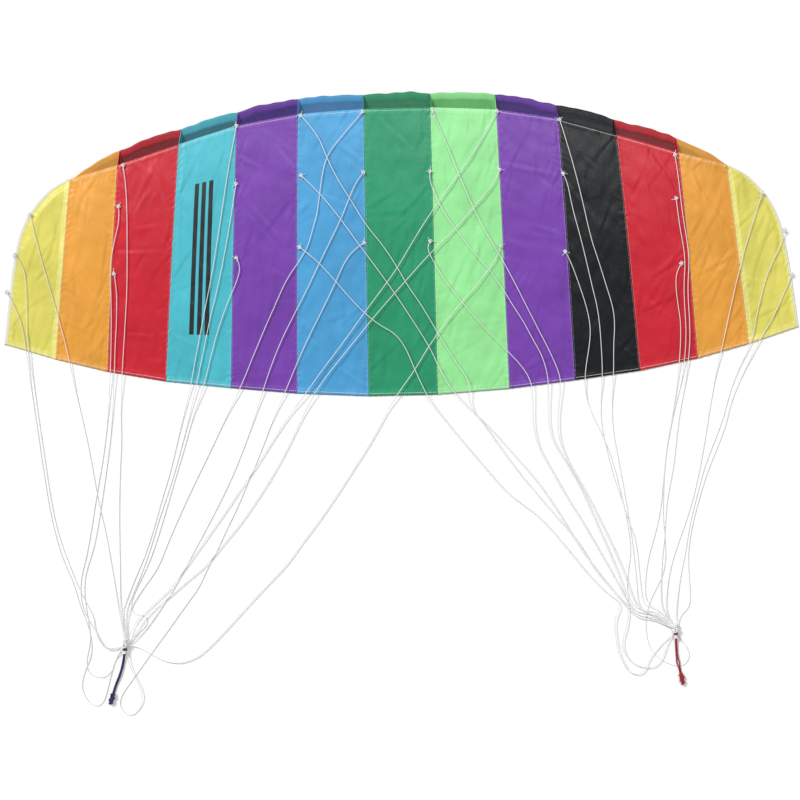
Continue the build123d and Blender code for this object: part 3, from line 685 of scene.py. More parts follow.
@dataclass
class Planform:
    """Seams and edges of the laid kite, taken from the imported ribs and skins."""

    skin: float = 0.8 * MM
    rib_thickness: float = 0.8 * MM
    bulge: float = 3.0 * MM
    edge_reach: float = 30 * MM
    outer_lip_setback: float = 9 * MM
    # How far the trailing edge rises across a tip cell, and points down the tip's curved edge.
    tip_rise: float = 31 * MM
    tip_edge: tuple = ((0.700, 0.116), (0.746, 0.056), (0.770, -0.030))
    fronts: Array = field(init=False)
    backs: Array = field(init=False)
    heights: Array = field(init=False)
    lips: Array = field(init=False)

    def __post_init__(self) -> None:
        """Read the seams' ends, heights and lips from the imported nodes."""
        boxes = [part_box(f"rib_{number:02d}") for number in range(1, CELLS)]
        low, high = (np.array([box[end][:] for box in boxes]) for end in (0, 1))
        left = np.arange(CELLS - 1) < (CELLS - 1) // 2
        half = self.rib_thickness / 2
        inner = np.where(left, high[:, 0] - half, low[:, 0] + half)
        outer = np.where(left, low[:, 0] + half, high[:, 0] - half)
        self.fronts = np.stack([inner, high[:, 1]], -1)
        self.backs = np.stack([outer, low[:, 1]], -1)
        peak = float(self.camber(np.linspace(0, 1, 2001)).max())
        self.heights = (high[:, 2] - 2 * self.skin) / peak
        cells = [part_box(f"lower_skin_cell_{number:02d}")[1].y for number in range(2, 7)]
        lips = np.array([high[0, 1] - self.outer_lip_setback, *cells])
        self.lips = np.concatenate([lips, lips[::-1]])
        self.half_span = float(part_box("lower_skin_cell_13")[1].x)
        self.tip_back_y = float(self.backs[0, 1]) + self.tip_rise

    @staticmethod
    def camber(s: Array) -> Array:
        """Rib height at a share s of the chord behind the lip: (1 - s)(0.7 + 2.2s - 1.2s^2)."""
        return (1 - s) * (0.7 + 2.2 * s - 1.2 * s * s)

    def across(self, x: Array, y: Array) -> tuple[Array, Array]:
        """Find the cell at each place, and the share of the way across it.

        Args:
            x: Plan positions.
            y: Plan positions.

        Returns:
            Cell numbers from 0 and shares from 0 to 1.
        """
        share = (self.fronts[:, 1, None] - y) / (self.fronts[:, 1] - self.backs[:, 1])[:, None]
        ends = self.fronts[:, 0, None] + (self.backs - self.fronts)[:, 0, None] * share
        rim = np.full((1, x.size), self.half_span)
        ends = np.concatenate([-rim, ends, rim])
        cell = (x >= ends[1:-1]).sum(0)
        pick = np.arange(x.size)
        low, high = ends[cell, pick], ends[cell + 1, pick]
        return cell, (x - low) / (high - low)

    def top(self, x: Array, y: Array) -> Array:
        """Height of the top of the laid kite, falling to the floor within a reach past its edges.

        Args:
            x: Plan positions, of any shape.
            y: Plan positions, of the same shape.

        Returns:
            Heights, of the same shape.
        """
        shape = np.broadcast(x, y).shape
        x, y = (np.broadcast_to(v, shape).astype(float).ravel() for v in (x, y))
        cell, share = self.across(x, y)
        tip = (cell == 0) | (cell == CELLS - 1)
        heights = np.concatenate([[0.0], self.heights, [0.0]])
        lips = np.concatenate([[self.tip_back_y], self.lips, [self.tip_back_y]])
        backs = np.concatenate([[self.tip_back_y], self.backs[:, 1], [self.tip_back_y]])
        front = np.where(tip, self.lips[0], lips[cell] + (lips[cell + 1] - lips[cell]) * share)
        back = backs[cell] + (backs[cell + 1] - backs[cell]) * share
        s = np.clip((front - y) / (front - back), 0, 1)
        past = np.maximum(np.maximum(back - y, np.abs(x) - self.half_span), 0)
        bulge = np.where(tip, 0.0, 4 * self.bulge * share * (1 - share))
        rise = heights[cell] + (heights[cell + 1] - heights[cell]) * share + bulge
        on_cloth = 2 * self.skin + rise * self.camber(s)
        beyond = 2 * self.skin * np.clip(1 - past / self.edge_reach, 0, 1)
        return np.where(past > 0, beyond, on_cloth).reshape(shape)

    def edge(self, side: Side, s: Array) -> Array:
        """Points down a tip's curved edge, by share of its length, on a Catmull-Rom curve.

        Args:
            side: Which tip.
            s: Shares of the edge's length, from its front to its back.

        Returns:
            Plan points.
        """
        front = np.abs(self.fronts[0]) * (1, 1)
        points = np.array([front, *self.tip_edge, (self.half_span, self.tip_back_y)])
        padded = np.vstack([2 * points[0] - points[1], points, 2 * points[-1] - points[-2]])
        t = np.linspace(0, 1, 40)[:, None]
        spans = [0.5 * (2 * b + (c - a) * t + (2 * a - 5 * b + 4 * c - d) * t**2
                        + (3 * b - a - 3 * c + d) * t**3)
                 for a, b, c, d in zip(padded, padded[1:], padded[2:], padded[3:])]
        curve = np.concatenate(spans)
        steps = np.concatenate([[0], np.cumsum(np.linalg.norm(np.diff(curve, axis=0), axis=1))])
        where = s * steps[-1]
        return np.stack([side.sign * np.interp(where, steps, curve[:, 0]),
                         np.interp(where, steps, curve[:, 1])], -1)

    def boundary(self, number: int, s: Array, from_front: bool = False) -> Array:
        """Points down one boundary of the cells: 0 and 13 are the tips' edges, 1 to 12 the seams.

        Args:
            number: Which boundary, from the left tip.
            s: Shares of the way from the front to the back.
            from_front: Start at the rib's front and not at the lip.

        Returns:
            Plan points.
        """
        if number in (0, CELLS):
            return self.edge(Side.LEFT if number == 0 else Side.RIGHT, s)
        front, back = self.fronts[number - 1], self.backs[number - 1]
        start = front
        if not from_front and number not in (1, CELLS - 1):
            start = front + (back - front) * (front[1] - self.lips[number - 1]) / (front - back)[1]
        return start + (back - start) * s[:, None]

    def cell_plan(self, cell: int, u: Array, s: Array, from_front: bool = False) -> Array:
        """Plan points of one cell's grid: straight across between its two boundaries.

        Args:
            cell: Cell number from 0.
            u: Shares across, left to right.
            s: Shares down, front to back.
            from_front: Start at the ribs' fronts and not at the lip.

        Returns:
            len(s) by len(u) by 2.
        """
        low = self.boundary(cell, s, from_front)[:, None]
        high = self.boundary(cell + 1, s, from_front)[:, None]
        return low + (high - low) * u[:, None]


@dataclass
class Drape:
    """Soft creases of the laid lower skin: a cloth simulation of slightly loose cloth."""

    plan: Planform
    columns: int = 12
    rows: int = 52
    looseness: float = 0.018
    frames: int = 26
    offsets: Array = field(init=False)

    def __post_init__(self) -> None:
        plan = self._plan()
        self.offsets = self._simulate(plan)

    def _plan(self) -> Array:
        """Plan points of the whole skin: rows by 13 cells' columns, sharing the seam columns."""
        u = np.linspace(0, 1, self.columns + 1)
        s = np.linspace(0, 1, self.rows)
        parts = [self.plan.cell_plan(cell, u, s)[:, (1 if cell else 0):] for cell in range(CELLS)]
        return np.concatenate(parts, 1)

    def _simulate(self, plan: Array) -> Array:
        """Pin the seams, trailing edge and tips, let the cloth between be loose, and settle it.

        Args:
            plan: Plan points of the coarse grid.

        Returns:
            How far each point moved up or down.
        """
        start = self.plan.top(plan[..., 0], plan[..., 1])
        seed = 0.5 * MM * wander(plan[..., 0], plan[..., 1], 5, 0.12, 0.03)
        buffer = MeshBuffer()
        buffer.grid(np.dstack([plan, start + seed]), plan)
        cloth = buffer.finish("drape", bpy.data.materials.new("drape"))
        pinned = np.zeros(start.shape, bool)
        pinned[:, ::self.columns] = True
        pinned[-1] = True
        group = cloth.vertex_groups.new(name="pinned")
        group.add(np.flatnonzero(pinned.ravel()).tolist(), 1.0, "REPLACE")
        settings = cloth.modifiers.new("cloth", "CLOTH").settings
        settings.quality = 6
        settings.mass = 0.06
        settings.tension_stiffness = settings.compression_stiffness = 12
        settings.shear_stiffness = 5
        settings.bending_stiffness = 0.02
        settings.air_damping = 4
        settings.shrink_min = -self.looseness
        settings.vertex_group_mass = "pinned"
        settings.effector_weights.gravity = 0
        cloth.modifiers["cloth"].collision_settings.use_collision = False
        for number in range(1, self.frames + 1):
            bpy.context.scene.frame_set(number)
        graph = bpy.context.evaluated_depsgraph_get()
        mesh = cloth.evaluated_get(graph).to_mesh()
        moved = np.zeros(len(mesh.vertices) * 3)
        mesh.vertices.foreach_get("co", moved)
        height = moved.reshape(*start.shape, 3)[..., 2]
        bpy.data.objects.remove(cloth)
        bpy.context.scene.frame_set(1)
        LOG.info("drape moved %.1f to %.1f mm", *((height - start).min() * 1000,
                                                (height - start).max() * 1000))
        return height - start

    def at(self, cell: int, u: Array, s: Array) -> Array:
        """Creases of one cell on a finer grid, through cubic B-spline weights along each side.

        Args:
            cell: Cell number from 0.
            u: Shares across.
            s: Shares down.

        Returns:
            len(s) by len(u) heights.
        """
        first = cell * self.columns
        part = self.offsets[:, first:first + self.columns + 1]
        return self._weights(s, self.rows) @ part @ self._weights(u, self.columns + 1).T

    @staticmethod
    def _weights(share: Array, count: int) -> Array:
        """Weights of each coarse point at each finer place, from the cubic B-spline's formula.

        Args:
            share: Places from 0 to 1.
            count: Number of coarse points.

        Returns:
            len(share) by count.
        """
        gap = np.abs(share[:, None] * (count - 1) - np.arange(-1, count + 1))
        near = 2 / 3 - gap**2 + gap**3 / 2
        far = (2 - gap)**3 / 6
        full = np.where(gap < 1, near, np.where(gap < 2, far, 0.0))
        weights = full[:, 1:-1].copy()
        weights[:, 0] += full[:, 0]
        weights[:, -1] += full[:, -1]
        return weights


def crowded(count: int, bias: float = 0.6) -> Array:
    """Shares from 0 to 1 that stand closer together towards both ends."""
    t = np.linspace(0, 1, count)
    return (1 - bias) * t + bias * (0.5 - 0.5 * np.cos(math.pi * t))


def ride_tip(piece: bpy.types.Object, cell: int, plan: Planform) -> None:
    """Attach a middle cell's piece to the root body, and bake a tip's piece where it lies.

    Args:
        piece: The piece.
        cell: Cell number from 0.
        plan: The planform.
    """
    if 0 < cell < CELLS - 1:
        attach(piece, "root")
        return
    side = Side.LEFT if cell == 0 else Side.RIGHT
    seam = 0 if cell == 0 else CELLS - 2
    front, back = plan.fronts[seam], plan.backs[seam]
    run = (back - front) / np.linalg.norm(back - front)
    out = np.array([-run[1], run[0]])
    out = out if out[0] * side.sign > 0 else -out
    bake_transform(piece)


@dataclass
class LowerSkin:
    """The thirteen panels that face up: creased cloth with sewn seams and hems, and stitching."""

    plan: Planform
    drape: Drape
    wardrobe: Wardrobe
    thickness: float = 0.3 * MM
    hem: float = 10 * MM
    seam: float = 2.6 * MM
    # Width of the lighter band by a tip's inner seam: doubled cloth with a painted highlight.
    bright_edge: float = 9 * MM
    # How far the cloth may rise and fall, to stay under the lines and over the ribs.
    rise: float = 1.7 * MM
    fall: float = 4.5 * MM
    # A tip's outer edge lies low: its height, and how far in the cloth has risen.
    tip_level: float = 1.4 * MM
    tip_slope: float = 16 * MM
    # How far from a seam and from the trailing edge the cloth is free to crease.
    free_edges: tuple = (12 * MM, 14 * MM)
    pucker: float = 0.6 * MM
    pucker_pitches: tuple = (13 * MM, 12 * MM)
    hem_step: float = 0.35 * MM
    hem_edge: float = 1.2 * MM
    rows: int = 150
    columns: int = 60
    grids: dict = field(default_factory=dict)

    def _shape(self, cell: int) -> tuple[Array, Array, Array]:
        """Work out one panel: dome, drape, puckers at its sewn edges and stepped hems.

        Args:
            cell: Cell number from 0.

        Returns:
            Points, plan points and the hem mask: lighter doubled cloth with a painted highlight.
        """
        u, s = crowded(self.columns), crowded(self.rows, 0.35)
        if cell in (0, CELLS - 1):
            s = np.concatenate([[0.004], s[1:]])
        plan = self.plan.cell_plan(cell, u, s)
        x, y = plan[..., 0], plan[..., 1]
        width = np.linalg.norm(plan[:, -1] - plan[:, 0], axis=-1)[:, None]
        length = np.linalg.norm(plan[-1] - plan[0], axis=-1)[None, :]
        left, right = u * width, (1 - u) * width
        side = np.minimum(left, right)
        lip, back = s[:, None] * length, (1 - s)[:, None] * length
        z = self.plan.top(x, y)
        tip = cell in (0, CELLS - 1)
        outer = left if cell == 0 else right
        if tip:
            z = self.tip_level + (z - self.tip_level) * ease(outer, self.tip_slope)
        free = ease(side, self.free_edges[0]) * ease(back, self.free_edges[1])
        creased = wander(x, 0.6 * y, 40 + cell, 0.13, 0.02)
        soft = self.drape.at(cell, u, s)
        soft += 0.5 * MM * creased + creases(x, y, 140 + cell)
        down = np.broadcast_to(lip, x.shape)
        beat = wander(x, y, 70 + cell, 0.09, 0.03)
        seam_pitch, hem_pitch = self.pucker_pitches
        pucker = np.sin(2 * math.pi * down / seam_pitch + 3 * beat) * np.exp(-side / (9 * MM))
        pucker += np.sin(2 * math.pi * x / hem_pitch + 3 * beat) * (
            1.2 * np.exp(-lip / (12 * MM)) + np.exp(-back / (11 * MM)))
        z = z + self._limited(soft * free + self.pucker * pucker * (0.6 + 0.4 * beat))
        hemmed = 1 - ease(back - self.hem, self.hem_edge)
        if not tip:
            hemmed = np.maximum(hemmed, 1 - ease(lip - self.hem, self.hem_edge))
        seamed = 1 - ease(side - self.seam, 0.8 * MM)
        z += self.hem_step * np.maximum(hemmed, seamed)
        # Lighter cloth at the hems, the seams and a tip's seam and edge: doubled cloth with a
        # painted highlight.
        mask = np.maximum(0.4 * hemmed, 0.12 * seamed)
        if tip:
            inner = right if cell == 0 else left
            mask = np.maximum(mask, 0.75 * (1 - ease(inner - self.bright_edge, 2.5 * MM)))
            mask = np.maximum(mask, 0.35 * (1 - ease(outer - 0.5 * self.bright_edge, 3 * MM)))
        return np.dstack([x, y, z]), plan, mask

    def _limited(self, offset: Array) -> Array:
        """Keep an offset under the lines and above the ribs, easing it towards its limits."""
        up = self.rise * np.tanh(np.maximum(offset, 0) / self.rise)
        return up + self.fall * np.tanh(np.minimum(offset, 0) / self.fall)

    def build(self) -> None:
        """Build and dress every panel, and hide the imported one."""
        for cell, dye in enumerate(CELL_DYES):
            points, plan, mask = self._shape(cell)
            self.grids[cell] = points
            buffer = MeshBuffer()
            buffer.grid(points[:, ::-1], plan[:, ::-1], hem=mask[:, ::-1])
            node = f"lower_skin_cell_{cell + 1:02d}"
            panel = buffer.finish(f"lower_skin_panel_{cell + 1:02d}", self.wardrobe.cloth[dye])
            give_wall(panel, self.thickness)
            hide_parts(node)
            ride_tip(panel, cell, self.plan)

    def sample(self, cell: int, u: Array, s: Array) -> Array:
        """Points on a built panel, between its grid points.

        Args:
            cell: Cell number from 0.
            u: Shares across.
            s: Shares down, one for each u.

        Returns:
            Points by 3.
        """
        grid = self.grids[cell]
        j = np.interp(u, crowded(self.columns), np.arange(self.columns))
        i = np.interp(s, crowded(self.rows, 0.35), np.arange(self.rows))
        i0, j0 = np.minimum(i.astype(int), self.rows - 2), np.minimum(j.astype(int),
                                                                     self.columns - 2)
        a, b = (i - i0)[:, None], (j - j0)[:, None]
        return ((grid[i0, j0] * (1 - b) + grid[i0, j0 + 1] * b) * (1 - a)
                + (grid[i0 + 1, j0] * (1 - b) + grid[i0 + 1, j0 + 1] * b) * a)


@dataclass
class Stitching:
    """Rows of thread: along the lips, the trailing edge and beside each seam."""

    skin: LowerSkin
    pitch: float = 4.2 * MM
    stitch: float = 3.0 * MM
    # Thread is 0.3 mm wide, too fine to show along the white-sewn hems, where it is drawn coarser.
    hem_width: float = 0.55 * MM
    seam_width: float = 0.14 * MM
    lip_inset: float = 4.5 * MM
    back_inset: float = 4.5 * MM
    seam_inset: float = 1.6 * MM
    proud: float = 0.28 * MM
    samples: tuple = (90, 240)

    def _dashes(self, line: Array, width: float) -> tuple[Array, Array]:
        """Small flat boxes along a line on the cloth, one for each stitch.

        Args:
            line: Closely spaced points.
            width: Width of the thread.

        Returns:
            Corner points and faces.
        """
        steps = np.concatenate([[0], np.cumsum(np.linalg.norm(np.diff(line, axis=0), axis=1))])
        starts = np.arange(self.pitch / 2, steps[-1] - self.stitch, self.pitch)
        ends = starts + self.stitch
        a, b = (np.stack([np.interp(t, steps, line[:, k]) for k in range(3)], -1)
                for t in (starts, ends))
        ahead = (b - a) / self.stitch
        across = np.cross(ahead, (0, 0, 1.0)) * width / 2
        up = np.array([0, 0, self.proud])
        low, high = -0.2 * up, up
        corners = np.stack([a - across + low, a + across + low, b + across + low,
                            b - across + low, a - across + high, a + across + high,
                            b + across + high, b - across + high], 1)
        box = np.array([(0, 3, 2, 1), (4, 5, 6, 7), (0, 1, 5, 4), (1, 2, 6, 5), (2, 3, 7, 6),
                        (3, 0, 4, 7)])
        faces = (np.arange(len(a)) * 8)[:, None, None] + box
        return corners.reshape(-1, 3), faces.reshape(-1, 4)

    def _lines(self, cell: int) -> list[tuple[Array, float]]:
        """The stitched lines of one panel.

        Args:
            cell: Cell number from 0.

        Returns:
            Lines of points on the cloth, each with its thread's width.
        """
        grid = self.skin.grids[cell]
        length = np.linalg.norm(grid[-1] - grid[0], axis=-1).mean()
        width = np.linalg.norm(grid[:, -1] - grid[:, 0], axis=-1).mean()
        wide, long = self.samples
        u, s = np.linspace(0.004, 0.996, wide), np.linspace(0.02, 0.995, long)
        hems = [1 - self.back_inset / length]
        hems += [self.lip_inset / length] if 0 < cell < CELLS - 1 else []
        seams = (self.seam_inset / width, 1 - self.seam_inset / width)
        lines = [(self.skin.sample(cell, u, np.full(wide, v)), self.hem_width) for v in hems]
        return lines + [(self.skin.sample(cell, np.full(long, v), s), self.seam_width)
                        for v in seams]

    def build(self) -> None:
        """Build one object of stitches for the middle cells and one for each tip."""
        groups = {"canopy_stitching": range(1, CELLS - 1), "left_tip_stitching": [0],
                  "right_tip_stitching": [CELLS - 1]}
        for name, cells in groups.items():
            points, faces, count = [], [], 0
            for line, width in [pair for cell in cells for pair in self._lines(cell)]:
                corners, quads = self._dashes(line, width)
                points.append(corners)
                faces.append(quads + count)
                count += len(corners)
            mesh = bpy.data.meshes.new(name)
            mesh.from_pydata(np.concatenate(points).tolist(), [], np.concatenate(faces).tolist())
            mesh.materials.append(self.skin.wardrobe.thread)
            piece = bpy.data.objects.new(name, mesh)
            bpy.context.scene.collection.objects.link(piece)
            ride_tip(piece, cells[0], self.skin.plan)
            LOG.info("%s: %d stitches", name, count // 8)


@dataclass
class UpperSkin:
    """The thirteen panels on the floor: painted shade in each inlet, lighter on the front hem."""

    plan: Planform
    wardrobe: Wardrobe
    thickness: float = 0.3 * MM
    level: float = 0.45 * MM
    hem: float = 13 * MM
    deep_shade_inset: float = 3 * MM
    bow: float = 4 * MM
    front_wobble: float = 1.6 * MM
    ripple: float = 0.5 * MM
    ripple_pitch: float = 19 * MM
    hem_step: float = 0.5 * MM
    hem_edge: float = 1.2 * MM
    # Painted inlet shade on the front hem, as a share of that behind the hem.
    band_shade: float = 0.42

    def build(self) -> None:
        """Build and dress every panel, and hide the imported one."""
        u, s = crowded(28), crowded(70, 0.5)
        for cell, dye in enumerate(CELL_DYES):
            tip = cell in (0, CELLS - 1)
            rows = np.concatenate([[0.004], s[1:]]) if tip else s
            plan = self.plan.cell_plan(cell, u, rows, from_front=True)
            if not tip:
                bowed = self.bow * 4 * u * (1 - u)
                crooked = self.front_wobble * wander(plan[0, :, 0], 0.0, 17, 0.12, 0.03)
                plan[..., 1] += (bowed + crooked * ease(u * (1 - u), 0.1)) * (
                    1 - rows[:, None])**8
            x, y = plan[..., 0], plan[..., 1]
            length = np.linalg.norm(plan[-1] - plan[0], axis=-1)[None, :]
            down = rows[:, None] * length
            z = self.level + 0.1 * MM * wander(x, y, 90 + cell, 0.09, 0.02)
            z += self.hem_step * (1 - ease(down - self.hem, self.hem_edge)) * (0 if tip else 1)
            wave = np.sin(2 * math.pi * x / self.ripple_pitch + 2 * wander(x, y, 8, 0.1, 0.03))
            z += (0 if tip else self.ripple) * (0.5 + 0.5 * wave) * np.exp(-down / (8 * MM))
            width = np.linalg.norm(plan[:, -1] - plan[:, 0], axis=-1)[:, None]
            side = np.minimum(u, 1 - u) * width
            # Painted shade of the inlet: full behind the front hem and short of the ribs, part of
            # it on the hem.
            deep_inlet_shade = ease(down - self.hem, self.hem_edge) * ease(side - self.deep_shade_inset, 1 * MM)
            inside = (self.band_shade + (1 - self.band_shade) * deep_inlet_shade) * (0 if tip else 1)
            buffer = MeshBuffer()
            buffer.grid(np.dstack([x, y, z])[:, ::-1], plan[:, ::-1],
                        inside=np.broadcast_to(inside, x.shape)[:, ::-1])
            name = f"upper_skin_panel_{cell + 1:02d}"
            panel = buffer.finish(name, self.wardrobe.cloth[dye])
            give_wall(panel, self.thickness)
            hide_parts(f"upper_skin_cell_{cell + 1:02d}")
            ride_tip(panel, cell, self.plan)
        LOG.info("upper skin: %d panels", CELLS)


@dataclass
class TipBinding:
    """Folded tape that binds the curved edge of each tip: a flat oval carried along the edge."""

    plan: Planform
    wardrobe: Wardrobe
    half_widths: tuple = (3.6 * MM, 2.0 * MM)
    half_height: float = 0.85 * MM

    def build(self) -> None:
        """Build one tape for each tip."""
        for side, half_width in zip(Side, self.half_widths):
            edge = self.plan.edge(side, np.linspace(0.004, 1, 110))
            path = np.c_[edge, np.full(len(edge), 0.95 * MM)]
            path[:, 0] += side.sign * 0.6 * half_width
            path[:, 2] += 0.06 * MM * np.sin(np.arange(len(path)) * 1.9)
            buffer = MeshBuffer()
            buffer.tube(path, half_width, 12, flatten=self.half_height / half_width)
            tape = buffer.finish(f"{side.value}_tip_binding", self.wardrobe.tape)
            ride_tip(tape, 0 if side is Side.LEFT else CELLS - 1, self.plan)
        LOG.info("tip bindings: 2 tapes")


@dataclass
class Ribs:
    """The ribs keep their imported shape, in the cloth of the brighter cell beside each seam."""

    wardrobe: Wardrobe

    def dress(self) -> None:
        """Give each rib its cloth."""
        for number in range(1, CELLS):
            dye = CELL_DYES[number] if number < 7 else CELL_DYES[number - 1]
            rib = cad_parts[f"rib_{number:02d}"]
            rib.data.materials.clear()
            rib.data.materials.append(self.wardrobe.cloth[dye])
        LOG.info("ribs: %d", CELLS - 1)


@dataclass
class PrintedBars:
    """Three slim plain bars printed on the fourth panel."""

    skin: LowerSkin
    cell: int = 3
    start: float = 0.19
    end: float = 0.8
    bars: tuple = ((0.33, 0.40), (0.45, 0.52), (0.57, 0.64))
    rows: int = 160
    film: float = 0.08 * MM
    proud: float = 0.12 * MM

    def build(self) -> None:
        """Lay each bar on the cloth as a thin film that follows its creases."""
        buffer = MeshBuffer()
        s = np.linspace(self.start, self.end, self.rows)
        for left, right in self.bars:
            u = np.linspace(left, right, 7)
            points = np.stack([self.skin.sample(self.cell, np.full(self.rows, v), s) for v in u], 1)
            points[..., 2] += self.proud
            buffer.grid(points[:, ::-1], points[:, ::-1, :2])
        film = buffer.finish("printed_bars", self.skin.wardrobe.ink)
        give_wall(film, self.film)
        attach(film, "root")
        LOG.info("printed bars: %d", len(self.bars))


# ---------------------------------------------------------------------------- the bridle


@dataclass
class Bridle:
    """Thirty lines, the small knots that tie them to the seams, and the two tow knots."""

    plan: Planform
    wardrobe: Wardrobe
    diameter: float = 1.5 * MM
    clearance: float = 2.4 * MM
    layer: float = 1.9 * MM
    knot_height: float = 3.2 * MM
    knot_size: float = 3.7 * MM
    bundle_reach: float = 110 * MM
    # A tie's loop and cut tails: half sizes, and the shortest and longest tail.
    sewn_loop: float = 4.5 * MM
    tails: tuple = (7, 11)
    # A stretch of the left tip's lines B and C that ends at the trailing edge.
    tip_bend: tuple = (-0.74, 0.17)
    # Turns of each tow knot (turn, size and height), and places of the whipping above it.
    knot_turns: tuple = ((0.3, 6.4, -1.6), (1.4, 5.6, 1.4), (2.4, 4.6, 0.0))
    whipping: tuple = (6.0, 8.0, 10.0)
    tow: dict = field(init=False)

    def __post_init__(self) -> None:
        """Read the tow knots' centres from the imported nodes."""
        self.tow = {}
        for side in Side:
            low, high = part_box(f"{side.value}_tow_knot")
            self.tow[side] = np.array((low + high) / 2)

    def _route(self, name: str, side: Side) -> Array:
        """Control points of one line: over the cloth, down to the floor and to its tow knot.

        Args:
            name: Rib number and row.
            side: Which tow knot it runs to.

        Returns:
            Points by 3.
        """
        flat = plan_points(ROUTES[name])
        top = self.plan.top(flat[:, 0], flat[:, 1])
        tow = self.tow[side]
        gather = np.clip(1 - np.hypot(*(flat - tow[:2]).T) / self.bundle_reach, 0, 1)
        lift = LAYERS.get(name[:-1], 0) * self.layer * (1 - gather) + ROW_LIFT[name[-1]] * gather
        first, last, hump = HUMPS.get(name, (0, 0, 0.0))
        lift[first:last] += hump
        clear = self.clearance * np.minimum(1, top / (2 * self.plan.skin))
        points = np.c_[flat, top + clear + self.diameter / 2 + lift]
        points[0, 2] = top[0] + self.knot_height
        inward = points[-1] - tow
        return np.vstack([points, tow + inward / np.linalg.norm(inward) * 3 * MM])

    def _ride(self, line: bpy.types.Object, number: str, row: str) -> None:
        """Attach a line on the canopy to the root body, and bake a tip's line where it lies."""
        if number not in ("0", "13"):
            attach(line, "root")
            return
        if number == "13" or row == "A":
            ride_tip(line, 0 if number == "0" else CELLS - 1, self.plan)
            return
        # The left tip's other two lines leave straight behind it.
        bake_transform(line)

    def build_lines(self) -> None:
        for side, ribs in ((Side.LEFT, LEFT_RIBS), (Side.RIGHT, RIGHT_RIBS)):
            for number in ribs:
                for row in "ABC":
                    path = smooth_route(self._route(number + row, side))
                    buffer = MeshBuffer()
                    buffer.tube(path, self.diameter / 2, 8)
                    name = f"bridle_line_{int(number):02d}_{row}"
                    line = buffer.finish(name, self.wardrobe.line)
                    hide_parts(f"bridle_lines_seam_{int(number):02d}")
                    self._ride(line, number, row)
        LOG.info("bridle: 30 lines")

    def _tie(self, buffer: MeshBuffer, place: Array, draw: np.random.Generator) -> None:
        """One tie: a sewn loop, the knot drawn tight in it, and the knot's two cut tails.

        Args:
            buffer: Where it goes.
            place: Where the line starts.
            draw: Seeded source of small differences.
        """
        ground = float(self.plan.top(*(np.array([v]) for v in place))[0])
        centre = np.array([*place, ground + self.knot_height])
        turn = draw.uniform(0, 2 * math.pi)
        buffer.tube(trefoil(centre, self.knot_size, turn, 1.0 * MM), 0.8 * MM, 6, loop=True)
        t = np.linspace(0, math.pi, 12)[:, None]
        loop = np.hstack([np.zeros_like(t), self.sewn_loop * np.cos(t),
                          self.knot_height * np.sin(t) - 0.3 * MM])
        buffer.tube(loop + (*place, ground + 0.3 * MM), 0.6 * MM, 6)
        for swing in (turn, turn + draw.uniform(1.4, 2.6)):
            reach = draw.uniform(*self.tails) * MM
            r = np.linspace(0, 1, 9)[:, None]
            tail = np.hstack([reach * r * math.cos(swing) + 1.5 * MM * r**2 * math.sin(swing),
                              reach * r * math.sin(swing) - 1.5 * MM * r**2 * math.cos(swing),
                              -1.4 * MM * r**1.5])
            buffer.tube(tail + centre, 0.5 * MM, 6)

    def build_ties(self) -> None:
        """Build the ties in four groups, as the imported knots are."""
        groups = {"left_tip": ("0",), "right_tip": ("13",), "left_bridle": ("2", "4", "6", "8"),
                  "right_bridle": ("5", "7", "9", "11")}
        for number, (group, ribs) in enumerate(groups.items()):
            draw = np.random.default_rng(300 + number)
            buffer = MeshBuffer()
            for place in [plan_points(ROUTES[rib + row][0]) for rib in ribs for row in "ABC"]:
                self._tie(buffer, place, draw)
            ties = buffer.finish(f"{group}_ties", self.wardrobe.line)
            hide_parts(f"{group}_line_knots")
            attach(ties, group if group.endswith("tip") else "root")
        LOG.info("ties: 30 knots")

    def build_tow_knots(self) -> None:
        """Build each tow knot: two knotted turns of gathered line, whipped below the bundle."""
        for side in Side:
            centre = self.tow[side]
            buffer = MeshBuffer()
            for turn, size, lift in self.knot_turns:
                middle = centre + (0, 0, lift * MM)
                buffer.tube(trefoil(middle, size * MM, turn, 2.3 * MM), 1.1 * MM, 8, loop=True)
            t = np.linspace(0, 2 * math.pi, 24, endpoint=False)
            for step in self.whipping:
                ring = np.stack([4.4 * MM * np.cos(t), np.full(24, step * MM) + 0.5 * MM
                                 * np.sin(t), 4.2 * MM * np.sin(t) - 1.6 * MM], -1)
                buffer.tube(ring + centre, 0.85 * MM, 6, loop=True)
            knot = buffer.finish(f"{side.value}_tow_knot_turns", self.wardrobe.line)
            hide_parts(f"{side.value}_tow_knot")
            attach(knot, "root")
        LOG.info("tow knots: 2")


